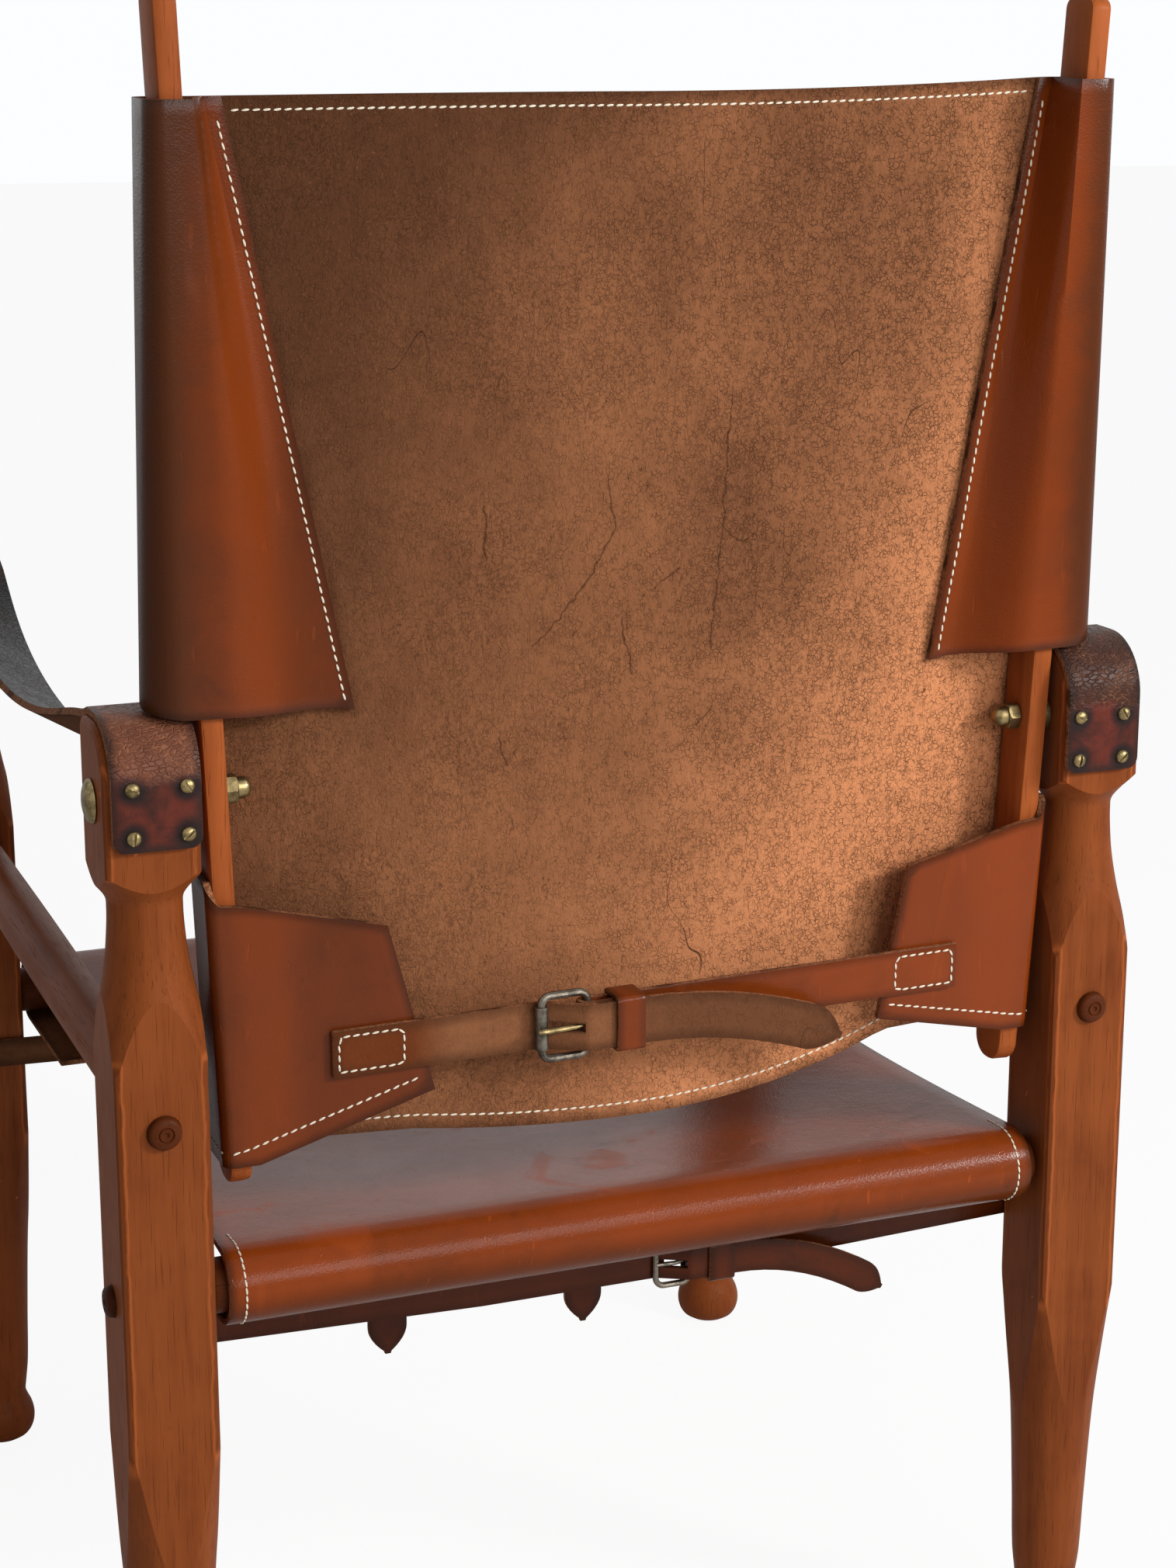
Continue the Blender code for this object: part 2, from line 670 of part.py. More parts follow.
def arm_screws(shop, name, side_x, side_y):
    """Four slotted screws through one end of an arm strap into the leg."""
    seat_y = side_y * (LEG_Y + LEG_HALF + ARM_THICKNESS + 2 * FIT_GAP)
    for number, (screw_x, screw_z) in enumerate(arm_screw_places(side_x), start=1):
        place = axis_matrix((screw_x, seat_y, screw_z), (0, side_y, 0))
        turn = Matrix.Rotation(math.radians(40 * number), 4, "Z")
        screw = turned(shop, f"{name}_{number}", screw_profile(), place @ turn, SMALL_STEPS)
        low = (-2 * SCREW_HEAD_RADIUS, -SCREW_SLOT_WIDTH / 2, SCREW_HEAD_HEIGHT - SCREW_SLOT_DEPTH)
        high = (2 * SCREW_HEAD_RADIUS, SCREW_SLOT_WIDTH / 2, 2 * SCREW_HEAD_HEIGHT)
        box_cutter(shop, screw, low, high, place @ turn)
        shop.finish(screw, "brass")


# Pivot hardware


def pivot_bolt(shop, name, side):
    """Domed bolt from outside the rear leg, through the post, into its cap nut."""
    head = side * (LEG_X + LEG_HALF + FIT_GAP)
    profile = []
    for share_in, share_out in DOME_SHARES:
        profile.append((BOLT_HEAD_HEIGHT * share_in, BOLT_HEAD_RADIUS * share_out))
    shank = abs(head) - nut_face() + BOLT_GRIP_IN_NUT
    profile += [(0, BOLT_RADIUS), (-shank, BOLT_RADIUS), (-shank, 0)]
    bolt = turned(shop, name, profile, axis_matrix((head, LEG_Y, PIVOT_Z), (side, 0, 0)), 16)
    return shop.finish(bolt, "brass")


def nut_face():
    """Distance from the chair's middle to the cap nut's seat on the post."""
    tilt_room = NUT_ACROSS_FLATS / 2 * math.tan(POST_SPLAY)
    return POST_PIVOT_X - POST_THICKNESS / 2 / math.cos(POST_SPLAY) - tilt_room - FIT_GAP


def dome_nut(shop, name, side):
    """Hexagon cap nut on the inner end of the pivot bolt."""
    seat = (side * nut_face(), LEG_Y, PIVOT_Z)
    place = axis_matrix(seat, (-side, 0, 0))
    corner = NUT_ACROSS_FLATS / math.sqrt(3)
    hexagon = [(NUT_HEX_HEIGHT, 0), (NUT_HEX_HEIGHT, corner), (0, corner), (0, 0)]
    nut = turned(shop, name, hexagon, place, 6)
    dome_height = NUT_LENGTH - NUT_HEX_HEIGHT
    neck = NUT_HEX_HEIGHT / 2
    dome = []
    for share_in, share_out in CAP_SHARES:
        dome.append((NUT_HEX_HEIGHT + dome_height * share_in, NUT_DOME_RADIUS * share_out))
    dome += [(neck, NUT_DOME_RADIUS), (neck, 0)]
    boolean(nut, turned(shop, name + "_dome", dome, place, 16, cutter=True), "UNION")
    bore = BOLT_GRIP_IN_NUT + FIT_GAP
    wide = BOLT_RADIUS + FIT_GAP
    hole = [(bore, 0), (bore, wide), (-CUT_OVERRUN, wide), (-CUT_OVERRUN, 0)]
    boolean(nut, turned(shop, name + "_bore", hole, place, 16, cutter=True))
    return shop.finish(nut, "brass")


CAP_SHARES = ((1.0, 0.0), (0.94, 0.40), (0.72, 0.72), (0.40, 0.94), (0.0, 1.0))


def spacer(shop, name, side):
    """Washer that keeps the post off the leg's inner face."""
    inner_face = LEG_X - LEG_HALF - FIT_GAP
    tilt_room = SPACER_RADIUS * math.tan(POST_SPLAY) + FIT_GAP
    post_face = POST_PIVOT_X + POST_THICKNESS / 2 / math.cos(POST_SPLAY) + tilt_room
    thickness = inner_face - post_face
    half = thickness / 2
    profile = [(half, 0), (half, SPACER_RADIUS), (-half, SPACER_RADIUS), (-half, 0)]
    middle = (side * (inner_face + post_face) / 2, LEG_Y, PIVOT_Z)
    washer = turned(shop, name, profile, axis_matrix(middle, (1, 0, 0)), 16)
    drill(shop, washer, middle, (1, 0, 0), BOLT_RADIUS + FIT_GAP, thickness + 2 * CUT_OVERRUN, 16)
    return shop.finish(washer, "brass")


# Back posts and sling, in the backrest's own frame: pivot axis at the origin, posts along Z


def post_x(z):
    """Middle of a post at a height over the pivot; the posts spread upwards."""
    return POST_PIVOT_X + z * math.tan(POST_SPLAY)


def post_outline(foot):
    """Side view of a post: square-cut top with eased corners and a rounded foot."""
    half = POST_DEPTH / 2
    top = POST_ABOVE_PIVOT
    points = []
    for share_side, share_up in FOOT_SHARES:
        points.append((half * share_side, foot + POST_FOOT_TAPER * share_up))
    points += arc_points((half - POST_TOP_ROUND, top - POST_TOP_ROUND), POST_TOP_ROUND, 0, math.pi / 2, 3)
    return points + [(-y, z) for y, z in reversed(points)]


FOOT_SHARES = ((0.42, 0.0), (0.72, 0.12), (0.90, 0.42), (1.0, 1.0))


def back_post(shop, name, side):
    """Flat post with chamfered corners, bored for the pivot bolt."""
    lean_out = Matrix.Rotation(side * POST_SPLAY, 4, "Y")
    upright = Matrix(((0, 0, 1), (1, 0, 0), (0, 1, 0))).to_4x4()
    place = Matrix.Translation((side * POST_PIVOT_X, 0, 0)) @ lean_out @ upright
    foot = -POST_BELOW_PIVOT_LEFT if side > 0 else -POST_BELOW_PIVOT_RIGHT
    post = outline_solid(shop, name, [post_outline(foot)], POST_THICKNESS / 2, place)
    bevel = post.modifiers.new("Chamfer", "BEVEL")
    bevel.width = POST_CHAMFER
    bevel.segments = 1
    bevel.limit_method = "ANGLE"
    bevel.angle_limit = math.radians(45)
    length = POST_THICKNESS + 2 * CUT_OVERRUN
    centre = (side * POST_PIVOT_X, 0, 0)
    drill(shop, post, centre, (1, 0, 0), BOLT_RADIUS + FIT_GAP, length, 16)
    return shop.finish(post, "wood")


def panel_y(x, z):
    """Middle surface of the back panel: flat in front of the posts, bowed back between them."""
    edge = post_x(z) - POST_THICKNESS / 2 - FIT_GAP
    down = (SLING_TOP - z) / (SLING_TOP - HEM_CENTRE)
    bow = lerp(BOW_TOP, BOW_FOOT, down)
    inside = max(1 - (x / edge) ** 2, 0)
    return -SLING_OFFSET + bow * inside


def loop_section(outer_x, corner, steps):
    """From the back of a loop round its outer side to its front, as (x, y)."""
    flat = SLING_OFFSET - corner
    centre_x = outer_x - corner
    back = arc_points((centre_x, flat), corner, math.pi / 2, 0, steps)
    front = arc_points((centre_x, -flat), corner, 0, -math.pi / 2, steps)
    return back + front


LOOP_STEPS = 3
FLAP_STEPS = 3
FLAP_COLUMNS = FLAP_STEPS + 1 + 2 * (LOOP_STEPS + 1)
PANEL_SHARES = (0.93, 0.80, 0.62, 0.42, 0.21)
FLAP_RISE_SHARES = (0.0, 0.20, 0.40, 0.58, 0.66, 0.76, 0.87, 0.95, 1.0, 1.0, 1.0, 1.0)


class SlingHalf:
    """Edges that differ between the left and right halves of the back sling."""

    def __init__(self, corner, seam_insets, flap_insets, foot_outer, foot_inner, hem_inset):
        self.corner = corner
        self.seam_insets = seam_insets
        self.flap_insets = flap_insets
        self.foot_outer = foot_outer
        self.foot_inner = foot_inner
        self.hem_reach = POST_PIVOT_X - hem_inset

    def top_z(self, x):
        """Height of the top edge, which isn't quite level."""
        return lerp(SLING_TOP, self.corner, min((x / POST_PIVOT_X) ** 2, 1))

    def hem_z(self, x):
        """Height of the panel's curved lower edge."""
        return lerp(HEM_CENTRE, self.foot_outer, min((x / self.hem_reach) ** 2, 1))


LEFT_HALF = SlingHalf(
    SLING_CORNER_LEFT, (SEAM_TOP_INSET_LEFT, SEAM_FOOT_INSET_LEFT),
    (FLAP_TOP_INSET_LEFT, FLAP_FOOT_INSET_LEFT),
    FLAP_FOOT_OUTER_LEFT, FLAP_FOOT_INNER_LEFT, HEM_REACH_INSET_LEFT)
RIGHT_HALF = SlingHalf(
    SLING_CORNER_RIGHT, (SEAM_TOP_INSET_RIGHT, SEAM_FOOT_INSET_RIGHT),
    (FLAP_TOP_INSET_RIGHT, FLAP_FOOT_INSET_RIGHT),
    FLAP_FOOT_OUTER_RIGHT, FLAP_FOOT_INNER_RIGHT, HEM_REACH_INSET_RIGHT)


def upper_section(z, half):
    """One half of the sling at a sleeve: seam, flap and loop round the post, as (x, y)."""
    down = (SLING_TOP - z) / (SLING_TOP - SLEEVE_FOOT_FRONT)
    seam = post_x(z) - lerp(*half.seam_insets, down)
    corner = lerp(SLEEVE_CORNER_TOP, SLING_OFFSET - FIT_GAP, down)
    stack = SLING_THICKNESS + FIT_GAP
    behind_post = post_x(z) - POST_THICKNESS / 2 - POST_PASS_CLEARANCE
    inner = [(seam, panel_y(seam, z) + stack), (seam + SEAM_WIDTH, panel_y(seam + SEAM_WIDTH, z) + stack)]
    outer = post_x(z) + lerp(SLEEVE_TOP_REACH, SLEEVE_FOOT_REACH, down) - SLING_THICKNESS / 2
    bridge = ((inner[1][0] + behind_post) / 2, (inner[1][1] + SLING_OFFSET) / 2)
    return inner + [bridge, (behind_post, SLING_OFFSET)] + loop_section(outer, corner, LOOP_STEPS)


def lower_section(z, half):
    """One half of the sling at a lower flap, whose end hangs free behind the panel."""
    share = (FLAP_TOP_INNER - z) / (FLAP_TOP_INNER - half.foot_inner)
    end = POST_PIVOT_X - lerp(*half.flap_insets, share)
    behind_post = post_x(z) - POST_THICKNESS / 2 - POST_PASS_CLEARANCE
    outer = post_x(z) + POST_THICKNESS / 2 / math.cos(POST_SPLAY) + FIT_GAP + SLING_THICKNESS / 2
    flap = [(lerp(end, behind_post, step / FLAP_STEPS), SLING_OFFSET) for step in range(FLAP_STEPS + 1)]
    return flap + loop_section(outer, FLAP_CORNER, LOOP_STEPS)


def panel_places(front_x, z):
    """Distances from the chair's middle of the panel's points, from beside the post inwards."""
    edge = min(post_x(z) - POST_THICKNESS / 2 - FIT_GAP, front_x - FIT_GAP)
    return [edge] + [edge * share for share in PANEL_SHARES] + [0]


UPPER_ROWS = 7
NOTCH_SHARES = (0.02, 0.34, 0.67)
NOTCH_ROWS = 1 + len(NOTCH_SHARES)
LOWER_ROWS = 6


def sling_row(row, half):
    """Points of one half of the back sling along one row, seam to middle."""
    if row <= UPPER_ROWS:
        return upper_row(row / UPPER_ROWS, half)
    if row < UPPER_ROWS + NOTCH_ROWS:
        return notch_row(NOTCH_SHARES[row - UPPER_ROWS - 1])
    return lower_row((row - UPPER_ROWS - NOTCH_ROWS) / LOWER_ROWS, half)


def sleeve_foot(column):
    """Height of a sleeve's lower edge, which climbs from its seam round to its front."""
    if column < FLAP_STEPS:
        return lerp(SLEEVE_FOOT_SEAM, SLEEVE_FOOT_BACK, column / FLAP_STEPS)
    return lerp(SLEEVE_FOOT_BACK, SLEEVE_FOOT_FRONT, min((column - FLAP_STEPS) / (LOOP_STEPS + 2), 1))


def upper_row(down, half):
    """A row through a sleeve."""
    front_z = lerp(SLING_TOP, SLEEVE_FOOT_FRONT, down)
    section = upper_section(front_z, half)
    points = []
    for column, (x, y) in enumerate(section):
        points.append((x, y, lerp(half.top_z(x), sleeve_foot(column), down)))
    for x in panel_places(section[-1][0], front_z):
        z = lerp(half.top_z(x), SLEEVE_FOOT_FRONT, down)
        points.append((x, panel_y(x, z), z))
    return points


def notch_row(down):
    """A row beside the cut-out that clears the leg head and the bolt."""
    z = lerp(SLEEVE_FOOT_FRONT, NOTCH_FOOT, down)
    edge = post_x(z) - NOTCH_EDGE_INSET
    points = [(edge, -SLING_OFFSET, z)] * FLAP_COLUMNS
    for x in panel_places(edge, z):
        points.append((x, panel_y(x, z), z))
    return points


def lower_row(down, half):
    """A row through a lower flap, whose top and foot slope towards its free end."""
    front_z = lerp(NOTCH_FOOT, half.foot_outer, down)
    section = lower_section(front_z, half)
    points = []
    for column, (x, y) in enumerate(section):
        top = lerp(FLAP_TOP_INNER, NOTCH_FOOT, FLAP_RISE_SHARES[column])
        foot = lerp(half.foot_inner, half.foot_outer, min(column / FLAP_STEPS, 1))
        points.append((x, y, lerp(top, foot, down)))
    for x in panel_places(section[-1][0], front_z):
        z = lerp(NOTCH_FOOT, half.hem_z(x), down)
        points.append((x, panel_y(x, z), z))
    return points


def back_sling(shop, name):
    """One leather sheet: sleeves above, a notch at the pivots, belted flaps below."""
    rows = []
    total = UPPER_ROWS + NOTCH_ROWS + LOWER_ROWS
    for row in range(total + 1):
        left = sling_row(row, LEFT_HALF)
        right = [(-x, y, z) for x, y, z in reversed(sling_row(row, RIGHT_HALF)[:-1])]
        rows.append(left + right)
    width = len(rows[0])

    def keep(row, column):
        in_notch = UPPER_ROWS <= row < UPPER_ROWS + NOTCH_ROWS
        near_end = min(column, width - 2 - column)
        return not (in_notch and near_end < FLAP_COLUMNS - 1)

    sling = sheet_solid(shop, name, rows, keep, SLING_THICKNESS, Matrix.Identity(4))
    return shop.finish(sling, "leather_flesh")


# Seat sling


def seat_route():
    """Side view of the seat sling: under, round and over each rail, with its sag share."""
    rail_back = (LEG_Y, SEAT_RAIL_BACK_Z)
    rail_front = (-LEG_Y, SEAT_RAIL_FRONT_Z)
    route = []
    for share in (0, 0.5):
        route.append((LEG_Y - SEAT_FLAP_BACK * (1 - share), SEAT_RAIL_BACK_Z - SEAT_ROLL, 0))
    for y, z in arc_points(rail_back, SEAT_ROLL, -math.pi / 2, math.pi / 2, 8):
        route.append((y, z, 0))
    for step in range(1, SEAT_TOP_STEPS):
        across = step / SEAT_TOP_STEPS
        y = lerp(LEG_Y, -LEG_Y, across)
        z = lerp(SEAT_RAIL_BACK_Z, SEAT_RAIL_FRONT_Z, across) + SEAT_ROLL
        route.append((y, z, math.sin(math.pi * across)))
    for y, z in arc_points(rail_front, SEAT_ROLL, math.pi / 2, 3 * math.pi / 2, 8):
        route.append((y, z, 0))
    for share in (0.5, 1):
        route.append((SEAT_FLAP_FRONT * share - LEG_Y, SEAT_RAIL_FRONT_Z - SEAT_ROLL, 0))
    return route


SEAT_TOP_STEPS = 10
SEAT_COLUMN_SHARES = (-1.0, -0.9, -0.7, -0.4, 0.0, 0.4, 0.7, 0.9, 1.0)


def seat_sling(shop, name):
    """Leather seat wrapped round both rails, sagging between them and waisted at its sides."""
    rows = []
    for y, z, sag in seat_route():
        row = []
        for share in SEAT_COLUMN_SHARES:
            drop = lerp(SEAT_SAG_CENTRE, SEAT_SAG_EDGE, share ** 2) * sag
            half = SEAT_HALF_WIDTH - SEAT_WAIST * sag
            row.append((half * share, y, z - drop))
        rows.append(row)
    sling = sheet_solid(shop, name, rows, lambda r, c: True, SLING_THICKNESS, Matrix.Identity(4))
    return shop.finish(sling, "leather_grain")


# Buckled straps, in a frame with X along the strap, Y out of its face and the buckle's bar at 0


class BuckleSize:
    """Sizes shared by a strap pair and its buckle."""

    def __init__(self, width, thickness, wire_radius, length, side_room, roller=0):
        self.width = width
        self.thickness = thickness
        self.wire_radius = wire_radius
        self.length = length
        self.half_height = width / 2 + side_room
        self.roller = roller
        self.front_bar = roller if roller else wire_radius
        self.under = self.front_bar + FIT_GAP + thickness / 2
        self.fold = wire_radius + FIT_GAP + thickness / 2
        self.over = self.fold + thickness + FIT_GAP


def buckle_frame(shop, name, size, place, cutter=False):
    """Rounded wire frame: heel bar at 0, front bar one buckle length before it."""
    corner = BUCKLE_CORNER
    low = corner - size.length
    high = -corner
    half = size.half_height - corner
    points = arc_points((high, half), corner, 0, math.pi / 2, 3)
    points += arc_points((low, half), corner, math.pi / 2, math.pi, 3)
    points += arc_points((low, -half), corner, math.pi, 3 * math.pi / 2, 3)
    points += arc_points((high, -half), corner, 3 * math.pi / 2, 2 * math.pi, 3)
    route = [(x, 0, z) for x, z in points]
    return wire(shop, name, route, size.wire_radius, place, cyclic=True, cutter=cutter)


def prong_route(size, radius):
    """Prong from its eye round the heel bar to a tip that rests on the front bar."""
    eye = size.wire_radius + FIT_GAP + radius
    rest = size.front_bar + FIT_GAP + radius
    route = [(x, y, 0) for x, y in arc_points((0, 0), eye, -math.pi * 0.75, math.pi / 2, 7)]
    route.append((-size.length / 2, (eye + rest) / 2, 0))
    route.append((-size.length, rest, 0))
    route.append((-size.length - PRONG_OVERHANG, rest - radius / 2, 0))
    return route


def fused_buckle(shop, name, size, place):
    """Small buckle whose prong is one with its frame."""
    frame = buckle_frame(shop, name, size, place)
    rest = size.wire_radius * 1.2
    route = [(0, 0, 0), (-size.length / 2, rest, 0), (-size.length, rest / 2, 0)]
    prong = wire(shop, name + "_prong", route, size.wire_radius * 0.7, place, cutter=True)
    boolean(frame, prong, "UNION")
    return shop.finish(frame, "buckle_metal")


def buckle_strap(shop, name, size, place, far_route, fold_length):
    """Strap from its sewn end, round the heel bar and back over itself, slotted for the prong."""
    route = list(far_route)
    arc = arc_points((0, 0), size.fold, -math.pi / 2, -3 * math.pi / 2, 6)
    sag = far_route[-1][2]
    route += [(x, y, sag) for x, y in arc]
    route.append((fold_length, size.fold, sag))
    strap = strap_solid(shop, name, route, size.width, size.thickness, place)
    reach = size.fold + size.thickness
    low = (-reach - CUT_OVERRUN, -reach, sag - SLOT_WIDTH / 2)
    high = (reach + PRONG_RADIUS, reach, sag + SLOT_WIDTH / 2)
    box_cutter(shop, strap, low, high, place)
    return strap


def billet_strap(shop, name, size, place, near_route, free_route, tip_length):
    """Strap with the free end: under the front bar, over the fold, on to its tip."""
    level = near_route[-1][2]
    climb = math.asin((size.under + size.over) / size.length)
    down = -math.pi / 2
    up = math.pi / 2
    crossing = arc_points((-size.length, 0), size.under, down, down + climb, 3)
    crossing += arc_points((0, 0), size.over, up + climb, up, 4)
    route = list(near_route) + [(x, y, level) for x, y in crossing] + list(free_route[:-1])
    route += end_stations(route[-1], free_route[-1], tip_length)
    strap = strap_solid(shop, name, route, size.width, size.thickness, place, tip_length=tip_length)
    start = size.under + size.thickness / 2 - size.length
    low = (start, -size.under, level - SLOT_WIDTH / 2)
    high = (PRONG_RADIUS, size.over + size.thickness, level + SLOT_WIDTH / 2)
    box_cutter(shop, strap, low, high, place)
    return strap


def keeper(shop, name, size, place, near, width, level=0):
    """Leather loop round the fold, the strap and the free end."""
    low = -size.fold - size.thickness / 2 - FIT_GAP
    high = size.over + size.thickness / 2 + FIT_GAP
    half = size.width / 2 + FIT_GAP
    inner = [(low, -half), (high, -half), (high, half), (low, half)]
    t = KEEPER_THICKNESS
    outer = [(low - t, -half), (low, -half - t), (high, -half - t), (high + t, -half),
             (high + t, half), (high, half + t), (low, half + t), (low - t, half)]
    turn = Matrix(((0, 0, 1), (1, 0, 0), (0, 1, 0))).to_4x4()
    middle = Matrix.Translation((near + width / 2, 0, level))
    loop = outline_solid(shop, name, [outer, inner], width / 2, place @ middle @ turn)
    return shop.finish(loop, "leather_grain")


def back_belt(shop):
    """Belt that draws the lower flaps together behind the panel."""
    size = BuckleSize(BELT_WIDTH, BELT_THICKNESS, BUCKLE_WIRE, BUCKLE_LENGTH, BUCKLE_SIDE_ROOM, ROLLER_RADIUS)
    flap_face = SLING_OFFSET + SLING_THICKNESS / 2 + FIT_GAP + BELT_THICKNESS / 2
    along = (-math.cos(BELT_TILT), 0, math.sin(BELT_TILT))
    place = frame_matrix((BELT_BAR_X, flap_face + size.under, BELT_Z), along, (0, 1, 0))
    left_end = POST_PIVOT_X - BELT_LEFT_END_INSET
    left_edge = POST_PIVOT_X - FLAP_FOOT_INSET_LEFT
    near = [(BELT_BAR_X - left_end, -size.under, 0), (BELT_BAR_X - left_edge, -size.under, 0)]
    keeper_end = BELT_KEEPER_NEAR + BELT_KEEPER_WIDTH + KEEPER_THICKNESS
    free = drooping_end(keeper_end, BELT_BAR_X + BELT_TIP_X, size.over, 0, BELT_TIP_DROP)
    billet = billet_strap(shop, "belt_billet", size, place, near, free, BELT_TIP_LENGTH)
    shop.finish(billet, "leather_grain")
    right_end = POST_PIVOT_X - BELT_RIGHT_END_INSET
    right_edge = POST_PIVOT_X - FLAP_FOOT_INSET_RIGHT
    far = [(BELT_BAR_X + right_end, -size.under, 0), (BELT_BAR_X + right_edge, -size.under, 0)]
    far.append((BELT_FOLD_LENGTH, -size.fold, 0))
    strap = buckle_strap(shop, "belt_buckle_strap", size, place, far, BELT_FOLD_LENGTH)
    shop.finish(strap, "leather_grain")
    shop.finish(buckle_frame(shop, "belt_buckle_frame", size, place), "buckle_metal")
    prong = wire(shop, "belt_prong", prong_route(size, PRONG_RADIUS), PRONG_RADIUS, place)
    shop.finish(prong, "buckle_metal")
    belt_roller(shop, size, place)
    keeper(shop, "belt_keeper", size, place, BELT_KEEPER_NEAR, BELT_KEEPER_WIDTH)


DROOP_SHARES = (0.0, 0.25, 0.5, 0.75, 1.0)


def drooping_end(start, reach, out, level, drop):
    """Route of a free end: level through its keeper, then falling towards its tip."""
    route = []
    for share in DROOP_SHARES:
        route.append((lerp(start, reach, share), out, level + drop * share ** 2))
    return route


def belt_roller(shop, size, place):
    """Tube that turns on the buckle's front bar."""
    half = size.half_height - BUCKLE_CORNER - FIT_GAP
    point = place @ Vector((-size.length, 0, 0))
    axis = place.to_3x3() @ Vector((0, 0, 1))
    profile = [(half, 0), (half, size.roller), (-half, size.roller), (-half, 0)]
    roller = turned(shop, "belt_roller", profile, axis_matrix(point, axis), 16)
    bore = size.wire_radius + ROLLER_PLAY
    drill(shop, roller, point, axis, bore, 2 * half + CUT_OVERRUN, 16)
    shop.finish(roller, "buckle_metal")


SEAT_STRAP_PLACE_SHARES = ((0.515, 1.0), (0.013, 1.0), (-0.576, 0.73))


def seat_strap_set(shop, number, x, hang):
    """One front-to-back strap pair that tensions the seat from below."""
    size = BuckleSize(SEAT_STRAP_WIDTH, SEAT_STRAP_THICKNESS, SMALL_WIRE, SMALL_BUCKLE_LENGTH,
                      SMALL_SIDE_ROOM)
    lift = SEAT_ROLL + SLING_THICKNESS / 2 + FIT_GAP + SEAT_STRAP_THICKNESS / 2
    bar_z = SEAT_RAIL_BACK_Z - lift - size.under
    place = frame_matrix((x, SEAT_STRAP_BAR_Y, bar_z), (0, 1, 0), (0, 0, -1))
    front_n = bar_z - (SEAT_RAIL_FRONT_Z - lift)
    flap_end = SEAT_FLAP_FRONT - LEG_Y - SEAT_STRAP_BAR_Y
    near = [(SEAT_STRAP_FRONT_END_Y - SEAT_STRAP_BAR_Y, front_n, 0), (flap_end, front_n, 0)]
    near.append((-2 * size.length, -size.under, 0))
    bend = SEAT_STRAP_BEND
    free = [(x_out, y_out, 0) for x_out, y_out in
            arc_points((bend / 2, size.over + bend), bend, -math.pi / 2, 0, 4)]
    free.append((bend * 1.5, hang, 0))
    billet = billet_strap(shop, f"seat_strap_billet_{number}", size, place, near, free, SEAT_STRAP_TIP_LENGTH)
    shop.finish(billet, "leather_flesh")
    far = [(SEAT_STRAP_BACK_END_Y - SEAT_STRAP_BAR_Y, -size.under, 0), (2 * size.length, -size.under, 0)]
    far.append((SEAT_STRAP_FOLD_LENGTH, -size.fold, 0))
    strap = buckle_strap(shop, f"seat_strap_buckle_end_{number}", size, place, far, SEAT_STRAP_FOLD_LENGTH)
    shop.finish(strap, "leather_flesh")
    fused_buckle(shop, f"seat_strap_buckle_{number}", size, place)


def cross_sag(x):
    """How far a side-to-side strap hangs below its ends."""
    return CROSS_STRAP_SAG * (1 - (x / LEG_X) ** 2)


def cross_strap_set(shop, word, side_y, rail_z):
    """Strap pair across the chair under a seat rail, tying two legs together."""
    size = BuckleSize(CROSS_STRAP_WIDTH, CROSS_STRAP_THICKNESS, SMALL_WIRE, SMALL_BUCKLE_LENGTH,
                      SMALL_SIDE_ROOM)
    face = LEG_Y - LEG_HALF - FIT_GAP - CROSS_STRAP_THICKNESS / 2
    along = (-side_y, 0, 0)
    bar = side_y * -CROSS_STRAP_BAR_X
    origin = (bar, side_y * (face + size.under), rail_z - CROSS_STRAP_DROP)
    place = frame_matrix(origin, along, (0, side_y, 0))
    level = cross_sag(CROSS_STRAP_BAR_X)
    end = LEG_X + LEG_HALF - CROSS_STRAP_END_INSET
    near = cross_run(-end, -CROSS_STRAP_BAR_X - 2 * size.length, -size.under, level)
    keeper_end = CROSS_KEEPER_NEAR + CROSS_KEEPER_WIDTH + KEEPER_THICKNESS
    free = drooping_end(keeper_end, CROSS_STRAP_TIP_REACH, size.over, level, CROSS_STRAP_TIP_DROP)
    billet = billet_strap(shop, f"{word}_cross_strap_billet", size, place, near, free, CROSS_STRAP_TIP_LENGTH)
    shop.finish(billet, "leather_grain")
    far = cross_run(end, CROSS_STRAP_BAR_X + 2 * CROSS_STRAP_FOLD_LENGTH, -size.under, level)
    far.append((CROSS_STRAP_FOLD_LENGTH, -size.fold, level))
    strap = buckle_strap(shop, f"{word}_cross_strap_buckle_end", size, place, far, CROSS_STRAP_FOLD_LENGTH)
    shop.finish(strap, "leather_grain")
    level_place = place @ Matrix.Translation((0, 0, level))
    fused_buckle(shop, f"{word}_cross_strap_buckle", size, level_place)
    keeper(shop, f"{word}_cross_strap_keeper", size, place, CROSS_KEEPER_NEAR, CROSS_KEEPER_WIDTH, level)


def cross_run(start_x, end_x, out, level):
    """Sagging run of a side-to-side strap, from its leg towards the buckle's bar."""
    route = []
    for step in range(5):
        x = lerp(start_x, end_x, step / 4)
        route.append((x - CROSS_STRAP_BAR_X, out, lerp(0, level, step / 4)))
    return route


